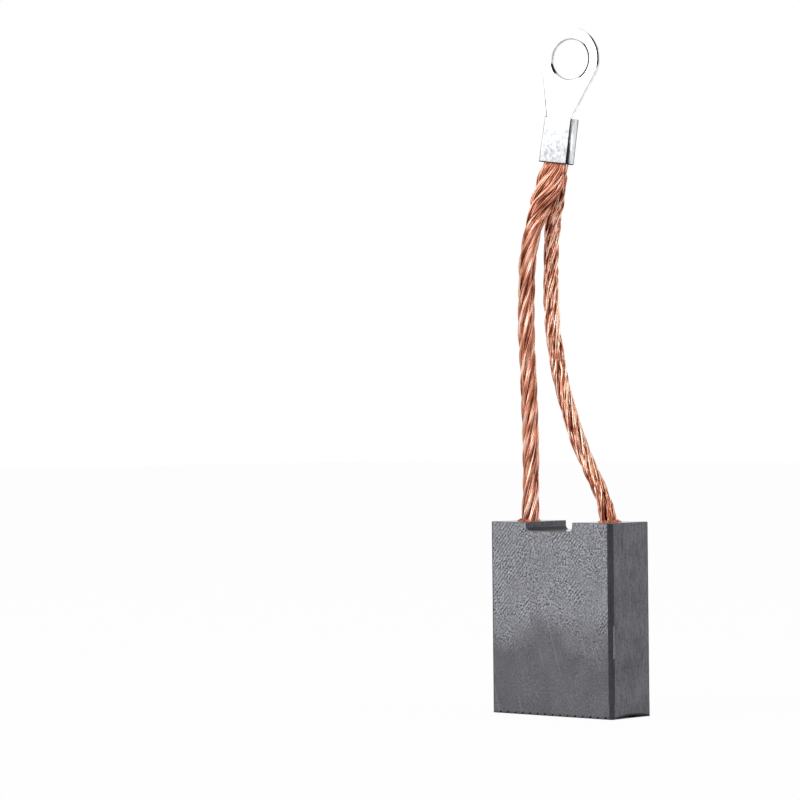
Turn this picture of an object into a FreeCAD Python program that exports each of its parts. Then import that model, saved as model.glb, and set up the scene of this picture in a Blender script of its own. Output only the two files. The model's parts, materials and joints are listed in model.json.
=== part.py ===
"""Industrial carbon brush: a slotted carbon block, two tamped copper leads and one ring terminal.

Millimetres. The origin is the middle of the wear face. X runs along the width of the block, Y through its
thickness and Z up towards the leads. The wear face is at Z = 0 and the head of the block is at block_length.
"""
import FreeCAD, Part
import math
import os

import Sketcher

SIZES = (
    ("block_width", 32.0),
    ("block_thickness", 12.5),
    ("block_length", 39.0),
    ("edge_chamfer", 0.75),
    ("slot_width", 12.0),
    ("slot_depth", 1.8),
    ("slot_corner_radius", 0.9),
    ("bedding_radius", 27.5),
    ("bedding_sag", 0.5),
    ("groove_depth", 0.7),
    ("groove_angle", 66.0),
    ("groove_tip_width", 0.2),
    ("groove_pitch", 1.98),
    ("groove_count", 17),
    ("first_groove_inset", 0.6),
    ("lead_spacing", 21.4),
    ("lead_hole_diameter", 4.8),
    ("lead_hole_depth", 11.0),
    ("drill_point_angle", 118.0),
    ("powder_collar_height", 0.4),
    ("powder_collar_diameter", 4.1),
    ("lead_diameter", 3.3),
    ("flat_start", 3.5),
    ("flat_width", 6.2),
    ("flat_thickness", 1.4),
    ("crimp_clearance", 0.03),
    ("sheet_thickness", 0.7),
    ("bend_radius", 0.9),
    ("barrel_length", 9.2),
    ("barrel_mouth_width", 7.4),
    ("barrel_mouth_depth", 2.6),
    ("barrel_neck_width", 6.8),
    ("barrel_neck_depth", 3.1),
    ("barrel_seam", 0.2),
    ("tongue_neck_width", 5.6),
    ("ring_diameter", 13.0),
    ("stud_hole_diameter", 8.0),
    ("ring_distance", 21.1),
    ("ring_offset", 1.15),
    ("terminal_x", -0.5),
    ("terminal_y", -3.2),
    ("terminal_height", 72.5),
    ("terminal_turn", 12.0),
    ("terminal_lean", 8.0),
)

# Route of each lead from the bottom of its hole to the end of the barrel: x, y and the height over the head.
LEFT_ROUTE = (
    (-10.7, 0.0, -10.0),
    (-10.2, 0.0, 1.5),
    (-9.5, -0.5, 14.0),
    (-9.1, -1.4, 28.0),
    (-8.8, -2.6, 42.0),
    (-5.9, -5.1, 57.1),
    (-0.9, -3.2, 69.5),
    (0.5, -1.9, 81.6),
)
RIGHT_ROUTE = (
    (10.7, 0.0, -10.0),
    (10.7, 0.0, 2.5),
    (4.3, -0.1, 14.0),
    (-1.3, -0.3, 26.0),
    (-3.8, -0.6, 41.0),
    (-3.7, -0.4, 56.7),
    (-1.5, -0.8, 69.5),
    (0.3, -1.1, 81.6),
)

ARC_SHARE = 0.45  # part of the shorter run that an arc of a lead's path uses on each side of its point
OVERRUN = 1.0  # how far a cutting profile reaches past the face that it cuts
TANGENT_GUESS = math.radians(25)  # where the sketch first draws the ends of the ring's arc, before its tangents

doc = FreeCAD.newDocument("carbon_brush")
sheet = doc.addObject("Spreadsheet::Sheet", "Sizes")
for row, (alias, value) in enumerate(SIZES, start=1):
    sheet.set(f"A{row}", alias)
    sheet.set(f"B{row}", str(value))
    sheet.setAlias(f"B{row}", alias)
doc.recompute()


def size(alias):
    """Return the value of a cell of the sheet."""
    return float(sheet.get(alias))


def evaluate(expression):
    """Return the value of an expression on the sheet."""
    return float(sheet.evalExpression(expression))


def bind(item, bindings):
    """Bind properties of a document object to expressions."""
    for name, expression in bindings.items():
        item.setExpression(name, expression)


def new_body(name):
    """Add a body whose Label is its node's name."""
    body = doc.addObject("PartDesign::Body", name)
    body.Label = name
    return body


def origin_feature(body, role):
    """Return a plane or an axis of a body's own origin by its role."""
    for feature in body.Origin.OriginFeatures:
        if feature.Role == role:
            return feature
    raise LookupError(role)


def new_sketch(body, name, plane, **offsets):
    """Add a sketch on a plane of the body's origin, moved by an expression along its x, y or z."""
    sketch = body.newObject("Sketcher::SketchObject", name)
    sketch.AttachmentSupport = [(origin_feature(body, plane), "")]
    sketch.MapMode = "FlatFace"
    for axis, expression in offsets.items():
        sketch.setExpression(f"AttachmentOffset.Base.{axis}", expression)
    return sketch


def relate(sketch, kind, *places):
    """Add a geometric constraint to a sketch."""
    sketch.addConstraint(Sketcher.Constraint(kind, *places))


def dimension(sketch, name, expression, kind, *places):
    """Add a named dimension to a sketch and bind it to the sheet."""
    value = evaluate(expression)
    if kind == "Angle":
        value = math.radians(value)
    index = sketch.addConstraint(Sketcher.Constraint(kind, *places, value))
    sketch.renameConstraint(index, name)
    sketch.setExpression(f"Constraints.{name}", expression)


def add_circle(sketch, x, y, diameter):
    """Draw a circle and return its number."""
    return sketch.addGeometry(Part.Circle(FreeCAD.Vector(x, y, 0), FreeCAD.Vector(0, 0, 1), diameter / 2))


def add_outline(sketch, corners):
    """Draw a closed outline of straight lines through the corners and return the lines' numbers."""
    points = [FreeCAD.Vector(x, y, 0) for x, y in corners]
    lines = []
    for start, end in zip(points, points[1:] + points[:1]):
        lines.append(sketch.addGeometry(Part.LineSegment(start, end)))
    for line, following in zip(lines, lines[1:] + lines[:1]):
        relate(sketch, "Coincident", line, 2, following, 1)
    return lines


def add_rectangle(sketch, width, height):
    """Draw a rectangle about the sketch's vertical axis, its corners running from lower left."""
    half = width / 2
    lines = add_outline(sketch, ((-half, 0), (half, 0), (half, height), (-half, height)))
    bottom, right, top, left = lines
    relate(sketch, "Symmetric", bottom, 1, bottom, 2, -2)
    relate(sketch, "Horizontal", top)
    relate(sketch, "Vertical", right)
    relate(sketch, "Vertical", left)
    return bottom, right, top, left


def add_feature(body, kind, name, profile, bindings=None, **settings):
    """Add a sketch-based PartDesign feature and bind its sizes."""
    feature = body.newObject(f"PartDesign::{kind}", name)
    feature.Profile = profile
    for key, setting in settings.items():
        setattr(feature, key, setting)
    bind(feature, bindings or {})
    doc.recompute()
    return feature


def edges_of(feature, test):
    """Return the names of a feature's edges that pass a test."""
    return [f"Edge{number}" for number, edge in enumerate(feature.Shape.Edges, start=1) if test(edge)]


def is_along(edge, direction):
    """Tell whether an edge is a straight line along a direction."""
    if not isinstance(edge.Curve, Part.Line):
        return False
    return abs(edge.Curve.Direction.dot(direction)) > 1 - 1e-6


def make_carbon_block():
    """Pressed block: chamfered long edges, slotted head, two blind holes and a serrated wear face."""
    body = new_body("carbon_block")

    section = new_sketch(body, "block_section", "XY_Plane")
    bottom, right, top, left = add_rectangle(section, size("block_width"), size("block_thickness"))
    dimension(section, "front", "Sizes.block_thickness / 2", "DistanceY", bottom, 1, -1, 1)
    dimension(section, "width", "Sizes.block_width", "DistanceX", bottom, 1, bottom, 2)
    dimension(section, "thickness", "Sizes.block_thickness", "DistanceY", right, 1, right, 2)
    pressed = add_feature(body, "Pad", "pressed_block", section, {"Length": "Sizes.block_length"})

    upright = FreeCAD.Vector(0, 0, 1)
    chamfer = body.newObject("PartDesign::Chamfer", "edge_chamfers")
    chamfer.Base = (pressed, edges_of(pressed, lambda edge: is_along(edge, upright)))
    bind(chamfer, {"Size": "Sizes.edge_chamfer"})
    doc.recompute()

    slot = new_sketch(body, "slot_profile", "XZ_Plane", y="Sizes.block_length - Sizes.slot_depth")
    bottom, right, top, left = add_rectangle(slot, size("slot_width"), size("slot_depth") + OVERRUN)
    relate(slot, "PointOnObject", bottom, 1, -1)
    dimension(slot, "width", "Sizes.slot_width", "DistanceX", bottom, 1, bottom, 2)
    dimension(slot, "depth", f"Sizes.slot_depth + {OVERRUN}", "DistanceY", right, 1, right, 2)
    finger_slot = add_feature(body, "Pocket", "finger_slot", slot, Type="ThroughAll", SideType="Symmetric")

    across = FreeCAD.Vector(0, 1, 0)
    floor_height = size("block_length") - size("slot_depth")

    def is_slot_corner(edge):
        return is_along(edge, across) and abs(edge.CenterOfMass.z - floor_height) < 1e-6

    corners = body.newObject("PartDesign::Fillet", "slot_corners")
    corners.Base = (finger_slot, edges_of(finger_slot, is_slot_corner))
    bind(corners, {"Radius": "Sizes.slot_corner_radius"})
    doc.recompute()

    wheel_height = "Sizes.bedding_sag - Sizes.bedding_radius"
    bedding = new_sketch(body, "bedding_circle", "YZ_Plane", y=wheel_height)
    circle = add_circle(bedding, 0, 0, 2 * size("bedding_radius"))
    relate(bedding, "Coincident", circle, 3, -1, 1)
    dimension(bedding, "radius", "Sizes.bedding_radius", "Radius", circle)
    add_feature(body, "Pocket", "bedding_arc", bedding, Type="ThroughAll", SideType="Symmetric")

    first_groove = "Sizes.first_groove_inset - Sizes.block_width / 2"
    tooth = new_sketch(body, "groove_profile", "XZ_Plane", x=first_groove, y=wheel_height)
    tip_height = size("bedding_radius") + size("groove_depth")
    base_height = size("bedding_radius") - size("bedding_sag") - OVERRUN
    tip_half = size("groove_tip_width") / 2
    base_half = tip_half + (tip_height - base_height) * math.tan(math.radians(size("groove_angle") / 2))
    base, right, tip, left = add_outline(tooth, ((-base_half, base_height), (base_half, base_height),
                                                 (tip_half, tip_height), (-tip_half, tip_height)))
    relate(tooth, "Symmetric", base, 1, base, 2, -2)
    relate(tooth, "Symmetric", tip, 1, tip, 2, -2)
    dimension(tooth, "tip_width", "Sizes.groove_tip_width", "DistanceX", tip, 2, tip, 1)
    dimension(tooth, "flank_angle", "Sizes.groove_angle * 1deg", "Angle", left, 1, right, 2)
    tip_radius = "Sizes.bedding_radius + Sizes.groove_depth"
    dimension(tooth, "tip_radius", tip_radius, "DistanceY", -1, 1, tip, 1)
    tooth_height = f"Sizes.groove_depth + Sizes.bedding_sag + {OVERRUN}"
    dimension(tooth, "tooth_height", tooth_height, "DistanceY", base, 1, left, 1)
    groove = add_feature(body, "Groove", "wear_groove", tooth, ReferenceAxis=(tooth, ["H_Axis"]), Angle=360)

    pattern = body.newObject("PartDesign::LinearPattern", "wear_grooves")
    pattern.Originals = [groove]
    pattern.Direction = (tooth, ["H_Axis"])
    pattern.Mode = "Spacing"
    bind(pattern, {"Offset": "Sizes.groove_pitch", "Occurrences": "Sizes.groove_count"})
    body.Tip = pattern
    doc.recompute()

    centres = new_sketch(body, "lead_hole_centres", "XY_Plane", z="Sizes.block_length")
    for name, side in (("left", -1), ("right", 1)):
        circle = add_circle(centres, side * size("lead_spacing") / 2, 0, size("lead_hole_diameter"))
        relate(centres, "PointOnObject", circle, 3, -1)
        ends = (circle, 3, -1, 1) if side < 0 else (-1, 1, circle, 3)
        dimension(centres, f"{name}_place", "Sizes.lead_spacing / 2", "DistanceX", *ends)
        dimension(centres, f"{name}_size", "Sizes.lead_hole_diameter", "Diameter", circle)
    doc.recompute()
    hole_sizes = {
        "Diameter": "Sizes.lead_hole_diameter",
        "Depth": "Sizes.lead_hole_depth",
        "DrillPointAngle": "Sizes.drill_point_angle",
    }
    add_feature(body, "Hole", "lead_holes", centres, hole_sizes, DepthType="Dimension", DrillPoint="Angled")
    return body


def make_powder_plug(name, side):
    """Tamped powder that fills a lead hole and stands in a low collar, before it is bored for its lead."""
    body = new_body(name)
    bind(body, {
        "Placement.Base.x": f"{side} * Sizes.lead_spacing / 2",
        "Placement.Base.z": "Sizes.block_length",
    })
    profile = new_sketch(body, f"{name}_profile", "XZ_Plane")
    radius, depth = size("lead_hole_diameter") / 2, size("lead_hole_depth")
    collar_height = size("powder_collar_height")
    corners = ((0, collar_height), (0, -depth - radius), (radius, -depth), (radius, 0),
               (size("powder_collar_diameter") / 2, collar_height))
    axis, point, wall, collar, top = add_outline(profile, corners)
    relate(profile, "PointOnObject", axis, 1, -2)
    relate(profile, "PointOnObject", axis, 2, -2)
    relate(profile, "PointOnObject", collar, 1, -1)
    relate(profile, "Vertical", wall)
    relate(profile, "Horizontal", top)
    dimension(profile, "radius", "Sizes.lead_hole_diameter / 2", "DistanceX", -1, 1, collar, 1)
    dimension(profile, "depth", "Sizes.lead_hole_depth", "DistanceY", wall, 1, -1, 1)
    cone_height = "Sizes.lead_hole_diameter / 2 / tan(Sizes.drill_point_angle * 0.5deg)"
    dimension(profile, "point", cone_height, "DistanceY", axis, 2, point, 2)
    dimension(profile, "collar_height", "Sizes.powder_collar_height", "DistanceY", -1, 1, top, 1)
    collar_radius = "Sizes.powder_collar_diameter / 2"
    dimension(profile, "collar_radius", collar_radius, "DistanceX", -1, 1, top, 1)
    add_feature(body, "Revolution", f"{name}_turned", profile, ReferenceAxis=(profile, ["V_Axis"]), Angle=360)
    return body


def rounded_section(body, name, width, depth, radius, **offsets):
    """Draw a rounded rectangle across the barrel, its front edge on the sketch's horizontal axis."""
    sketch = new_sketch(body, name, "XY_Plane", **offsets)
    half, deep, corner = evaluate(f"({width}) / 2"), evaluate(depth), evaluate(radius)
    quarter = math.pi / 2
    centres = ((half - corner, corner), (half - corner, deep - corner), (corner - half, deep - corner),
               (corner - half, corner))
    arcs = []
    for number, (x, y) in enumerate(centres):
        round_corner = Part.Circle(FreeCAD.Vector(x, y, 0), FreeCAD.Vector(0, 0, 1), corner)
        start = (number - 1) * quarter
        arcs.append(sketch.addGeometry(Part.ArcOfCircle(round_corner, start, start + quarter)))
    ends = (((corner - half, 0), (half - corner, 0)), ((half, corner), (half, deep - corner)),
            ((half - corner, deep), (corner - half, deep)), ((-half, deep - corner), (-half, corner)))
    lines = []
    for (x_start, y_start), (x_end, y_end) in ends:
        start, end = FreeCAD.Vector(x_start, y_start, 0), FreeCAD.Vector(x_end, y_end, 0)
        lines.append(sketch.addGeometry(Part.LineSegment(start, end)))
    for number in range(4):
        relate(sketch, "Tangent", lines[number], 2, arcs[number], 1)
        relate(sketch, "Tangent", arcs[number], 2, lines[(number + 1) % 4], 1)
    for number in range(1, 4):
        relate(sketch, "Equal", arcs[0], arcs[number])
    front, right, back, left = lines
    relate(sketch, "Vertical", right)
    relate(sketch, "Horizontal", back)
    relate(sketch, "Vertical", left)
    relate(sketch, "PointOnObject", front, 1, -1)
    relate(sketch, "Symmetric", front, 1, front, 2, -2)
    dimension(sketch, "width", width, "DistanceX", left, 1, right, 1)
    dimension(sketch, "depth", depth, "DistanceY", front, 2, back, 1)
    dimension(sketch, "corner_radius", radius, "Radius", arcs[0])
    return sketch


def make_ring_terminal():
    """Sheet terminal: a flat ring and tongue, and a barrel folded behind the tongue and closed by a seam."""
    body = new_body("ring_terminal")
    bind(body, {"Placement": "placement("
                "vector(Sizes.terminal_x; Sizes.terminal_y; Sizes.block_length + Sizes.terminal_height); "
                "rotation(Sizes.terminal_turn; Sizes.terminal_lean; 0))"})

    plate = new_sketch(body, "tongue_outline", "XZ_Plane")
    neck, foot = size("tongue_neck_width") / 2, size("barrel_length") - size("sheet_thickness")
    centre = FreeCAD.Vector(size("ring_offset"), size("ring_distance"), 0)
    ring = Part.Circle(centre, FreeCAD.Vector(0, 0, 1), size("ring_diameter") / 2)
    rim = plate.addGeometry(Part.ArcOfCircle(ring, -TANGENT_GUESS, math.pi + TANGENT_GUESS))
    rim_start, rim_end = plate.getPoint(rim, 1), plate.getPoint(rim, 2)
    left_foot, right_foot = FreeCAD.Vector(-neck, foot, 0), FreeCAD.Vector(neck, foot, 0)
    base = plate.addGeometry(Part.LineSegment(left_foot, right_foot))
    right = plate.addGeometry(Part.LineSegment(right_foot, rim_start))
    left = plate.addGeometry(Part.LineSegment(rim_end, left_foot))
    relate(plate, "Coincident", base, 2, right, 1)
    relate(plate, "Coincident", left, 2, base, 1)
    relate(plate, "Tangent", right, 2, rim, 1)
    relate(plate, "Tangent", rim, 2, left, 1)
    relate(plate, "Symmetric", base, 1, base, 2, -2)
    neck_height = "Sizes.barrel_length - Sizes.sheet_thickness"
    dimension(plate, "neck_height", neck_height, "DistanceY", -1, 1, base, 1)
    dimension(plate, "neck_width", "Sizes.tongue_neck_width", "DistanceX", base, 1, base, 2)
    dimension(plate, "ring_radius", "Sizes.ring_diameter / 2", "Radius", rim)
    dimension(plate, "ring_distance", "Sizes.ring_distance", "DistanceY", -1, 1, rim, 3)
    dimension(plate, "ring_offset", "Sizes.ring_offset", "DistanceX", -1, 1, rim, 3)
    add_feature(body, "Pad", "tongue", plate, {"Length": "Sizes.sheet_thickness"}, Reversed=True)

    outer, inner = [], []
    wall = "Sizes.sheet_thickness"
    for end, height in (("mouth", {}), ("neck", {"z": "Sizes.barrel_length"})):
        width, depth = f"Sizes.barrel_{end}_width", f"Sizes.barrel_{end}_depth"
        outer.append(rounded_section(body, f"{end}_outside", width, depth, "Sizes.bend_radius", **height))
        inner.append(rounded_section(body, f"{end}_inside", f"{width} - 2 * {wall}", f"{depth} - 2 * {wall}",
                                     f"Sizes.bend_radius - {wall}", y=wall, **height))
    doc.recompute()
    add_feature(body, "AdditiveLoft", "barrel", outer[0], Sections=[outer[1]], Ruled=True)
    add_feature(body, "SubtractiveLoft", "barrel_inside", inner[0], Sections=[inner[1]], Ruled=True)

    behind_inside = f"Sizes.barrel_mouth_depth - 1.5 * {wall}"
    seam = new_sketch(body, "seam_profile", "XY_Plane", y=behind_inside)
    bottom, right, top, left = add_rectangle(seam, size("barrel_seam"), size("barrel_neck_depth"))
    relate(seam, "PointOnObject", bottom, 1, -1)
    dimension(seam, "width", "Sizes.barrel_seam", "DistanceX", bottom, 1, bottom, 2)
    dimension(seam, "depth", "Sizes.barrel_neck_depth", "DistanceY", right, 1, right, 2)
    add_feature(body, "Pocket", "wing_seam", seam, {"Length": "Sizes.barrel_length"}, Reversed=True)

    stud = new_sketch(body, "stud_hole_circle", "XZ_Plane")
    circle = add_circle(stud, centre.x, centre.y, size("stud_hole_diameter"))
    dimension(stud, "diameter", "Sizes.stud_hole_diameter", "Diameter", circle)
    dimension(stud, "distance", "Sizes.ring_distance", "DistanceY", -1, 1, circle, 3)
    dimension(stud, "offset", "Sizes.ring_offset", "DistanceX", -1, 1, circle, 3)
    add_feature(body, "Pocket", "stud_hole", stud, Type="ThroughAll", SideType="Symmetric")
    return body


def lead_points(route):
    """Return a route's points in the object's frame."""
    head = size("block_length")
    return [FreeCAD.Vector(x, y, height + head) for x, y, height in route]


def lead_path(name, points):
    """Join the runs through the points by tangent arcs and stop halfway along the run before the last."""
    edges = []
    start = points[0]
    for number in range(1, len(points) - 2):
        before, corner, after = points[number - 1], points[number], points[number + 1]
        into, out = (corner - before), (after - corner)
        reach = ARC_SHARE * min(into.Length, out.Length)
        into.normalize()
        out.normalize()
        turn = into.getAngle(out)
        radius = reach / math.tan(turn / 2)
        print(f"{name} point {number + 1}: turn {math.degrees(turn):.1f} degrees, radius {radius:.1f} mm")
        arc_start = corner - into * reach
        arc_end = corner + out * reach
        bisector = out - into
        bisector.normalize()
        arc_middle = corner + bisector * (radius / math.cos(turn / 2) - radius)
        edges.append(Part.LineSegment(start, arc_start).toShape())
        edges.append(Part.Arc(arc_start, arc_middle, arc_end).toShape())
        start = arc_end
    end = (points[-3] + points[-2]) / 2
    edges.append(Part.LineSegment(start, end).toShape())
    return Part.Wire(edges)


def four_sided_wire(corners, bulges):
    """Make a closed wire of four edges: an arc where a side has a middle point, else a line."""
    edges = []
    for number, middle in enumerate(bulges):
        start, end = corners[number], corners[(number + 1) % 4]
        curve = Part.LineSegment(start, end) if middle is None else Part.Arc(start, middle, end)
        edges.append(curve.toShape())
    return Part.Wire(edges)


def flat_section(placement, height, width, thickness, middle):
    """Make the outline of a flattened lead across the barrel, in the terminal's frame."""
    core, half = (width - thickness) / 2, thickness / 2

    def place(x, y):
        return placement.multVec(FreeCAD.Vector(x, middle + y, height))

    corners = (place(-core, -half), place(core, -half), place(core, half), place(-core, half))
    return four_sided_wire(corners, (None, place(core + half, 0), None, place(-core - half, 0)))


def round_section(placement, centre, direction):
    """Make the outline of the round lead as four arcs that face the sides of a flat section."""
    across = placement.Rotation.multVec(FreeCAD.Vector(1, 0, 0))
    across = across - direction * across.dot(direction)
    across.normalize()
    behind = direction.cross(across)
    radius = size("lead_diameter") / 2

    def place(degrees):
        angle = math.radians(degrees)
        return centre + (across * math.cos(angle) + behind * math.sin(angle)) * radius

    return four_sided_wire([place(turn) for turn in (225, 315, 45, 135)],
                           [place(turn) for turn in (270, 0, 90, 180)])


def make_lead(name, route, side, terminal):
    """Copper rope: a round tube along its route, flattened where it enters the barrel.

    The side is -1 for the lead at the front of the barrel and 1 for the one behind it.
    """
    points = lead_points(route)
    path = lead_path(name, points)
    start_direction = points[1] - points[0]
    radius = size("lead_diameter") / 2
    rim = Part.Wire(Part.Circle(points[0], start_direction, radius).toShape())
    tube = path.makePipe(Part.Face(rim))
    expected = math.pi * radius ** 2 * path.Length
    print(f"{name} tube: volume {tube.Volume:.1f}, section times length {expected:.1f} mm3")

    placement = terminal.Placement
    wall, gap = size("sheet_thickness"), size("crimp_clearance")
    mouth_room = size("barrel_mouth_depth") - 2 * wall
    neck_room = size("barrel_neck_depth") - 2 * wall
    loose_thickness = size("flat_thickness")

    def crimped(height, room, width):
        thickness = (room - 3 * gap) / 2
        middle = wall + room / 2 + side * (thickness + gap) / 2
        return flat_section(placement, height, width - 2 * wall - 2 * gap, thickness, middle)

    direction = points[-2] - points[-3]
    direction.normalize()
    loose_middle = wall + mouth_room / 2 + side * (loose_thickness + gap) / 2
    sections = [
        round_section(placement, (points[-3] + points[-2]) / 2, direction),
        flat_section(placement, -size("flat_start"), size("flat_width"), loose_thickness, loose_middle),
        crimped(0, mouth_room, size("barrel_mouth_width")),
        crimped(size("barrel_length"), neck_room, size("barrel_neck_width")),
    ]
    pieces = [tube]
    for lower, upper in zip(sections, sections[1:]):
        pieces.append(Part.makeLoft([lower, upper], True, True))
    lead = doc.addObject("Part::Feature", name)
    lead.Label = name
    lead.Shape = pieces[0].fuse(pieces[1:])
    print(f"{name} path: {path.Length:.1f} mm, whole solid {lead.Shape.Volume:.1f} mm3")
    return lead


def make_tamping(name, side, lead):
    """Bore a powder plug to the lead that it holds."""
    plug = make_powder_plug(f"{name}_plug", side)
    tamping = doc.addObject("Part::Cut", name)
    tamping.Label = name
    tamping.Base = plug
    tamping.Tool = lead
    doc.recompute()
    return tamping


def check_document(nodes):
    """Stop if any object failed or any node is not one valid solid."""
    for item in doc.Objects:
        if {"Invalid", "Error"} & set(item.State):
            raise RuntimeError(f"{item.Label} failed: {item.State}")
    for node in nodes:
        shape = node.Shape
        if shape.isNull() or not shape.isValid() or len(shape.Solids) != 1:
            raise RuntimeError(f"{node.Label} is not one valid solid")
        print(f"{node.Label}: {shape.Volume:.2f} mm3")


block = make_carbon_block()
terminal = make_ring_terminal()
lead_left = make_lead("lead_left", LEFT_ROUTE, -1, terminal)
lead_right = make_lead("lead_right", RIGHT_ROUTE, 1, terminal)
tamping_left = make_tamping("tamping_left", -1, lead_left)
tamping_right = make_tamping("tamping_right", 1, lead_right)
doc.recompute()

nodes = (block, tamping_left, tamping_right, lead_left, lead_right, terminal)
check_document(nodes)
os.makedirs("parts", exist_ok=True)
for node in nodes:
    node.Shape.exportStep(f"parts/{node.Label}.step")
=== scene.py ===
"""Dress a carbon brush: block, powder collars, two copper rope leads and a ring terminal.

Metres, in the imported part's own frame: the origin is the middle of the wear face, X runs along the width
of the block, Y through its thickness and Z up towards the leads.
"""
import json
import logging
import math
import random
from collections.abc import Callable
from dataclasses import astuple, dataclass
from enum import Enum, IntEnum

import bmesh
import bpy
from mathutils import Matrix, Vector, noise

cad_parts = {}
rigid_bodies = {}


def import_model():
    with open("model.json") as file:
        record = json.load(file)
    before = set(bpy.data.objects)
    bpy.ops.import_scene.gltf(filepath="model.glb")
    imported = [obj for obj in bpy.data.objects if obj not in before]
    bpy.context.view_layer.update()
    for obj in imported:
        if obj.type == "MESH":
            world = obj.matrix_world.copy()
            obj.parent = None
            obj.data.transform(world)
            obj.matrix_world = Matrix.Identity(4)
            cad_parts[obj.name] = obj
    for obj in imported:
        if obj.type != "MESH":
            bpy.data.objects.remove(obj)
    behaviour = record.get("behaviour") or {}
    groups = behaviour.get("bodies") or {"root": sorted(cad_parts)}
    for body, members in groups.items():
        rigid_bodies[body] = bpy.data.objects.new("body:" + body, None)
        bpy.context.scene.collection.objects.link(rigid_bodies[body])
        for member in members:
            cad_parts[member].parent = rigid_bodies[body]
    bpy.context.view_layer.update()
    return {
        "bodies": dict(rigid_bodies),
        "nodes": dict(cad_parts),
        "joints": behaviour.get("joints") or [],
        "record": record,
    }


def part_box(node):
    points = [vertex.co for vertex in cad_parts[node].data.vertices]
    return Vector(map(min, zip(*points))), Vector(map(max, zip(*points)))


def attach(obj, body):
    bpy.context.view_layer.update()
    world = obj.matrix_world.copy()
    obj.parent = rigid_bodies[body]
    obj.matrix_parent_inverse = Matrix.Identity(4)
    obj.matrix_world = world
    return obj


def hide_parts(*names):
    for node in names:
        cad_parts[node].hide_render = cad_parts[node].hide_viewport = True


LOG = logging.getLogger("carbon_brush")
MM = 0.001
UP = Vector((0.0, 0.0, 1.0))
WIRE_MAP = "UVMap"
# Name of the terminal's attribute of painted shade and dark reflections.
SHADE_ATTRIBUTE = "painted_shade"

Colour = tuple[float, float, float]
Place = tuple[float, float, float]
Scale = tuple[float, float, float]
Angles = tuple[float, float, float]
Span = tuple[float, float]
Stops = tuple[tuple[float, Colour], ...]
Route = tuple[Place, ...]
Socket = bpy.types.NodeSocket
Material = bpy.types.Material
Object = bpy.types.Object
Shape = bmesh.types.BMesh
Vert = bmesh.types.BMVert
Edge = bmesh.types.BMEdge
Face = bmesh.types.BMFace


class Side(Enum):
    """Which of the two leads, by its place in the barrel of the terminal."""

    FRONT = -1
    BACK = 1


class BlockFace(IntEnum):
    """Kinds of face of the carbon block, in the order of its materials."""

    BROAD = 0
    SIDE = 1
    EDGE = 2
    WORN = 3
    HEAD = 4


class WireKind(IntEnum):
    """Kinds of wire in a rope, in the order of its materials."""

    LAID = 0
    CORE = 1
    STRAY = 2


class SheetFace(IntEnum):
    """Kinds of face of the terminal, in the order of its materials."""

    FLAT = 0
    CUT = 1


def smooth_step(low: float, high: float, value: float) -> float:
    """Ease from 0 to 1 as a value passes from low to high.

    Args:
        low: value that gives 0.
        high: value that gives 1.
        value: value to ease.

    Returns:
        The eased share, from 0 to 1.
    """
    share = min(1.0, max(0.0, (value - low) / (high - low)))
    return share * share * (3.0 - 2.0 * share)


def ends_pass(edge: Edge, test: Callable[[Vector], bool]) -> bool:
    """Tell whether the places of both ends of an edge pass a test."""
    return all(test(vert.co) for vert in edge.verts)


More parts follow.
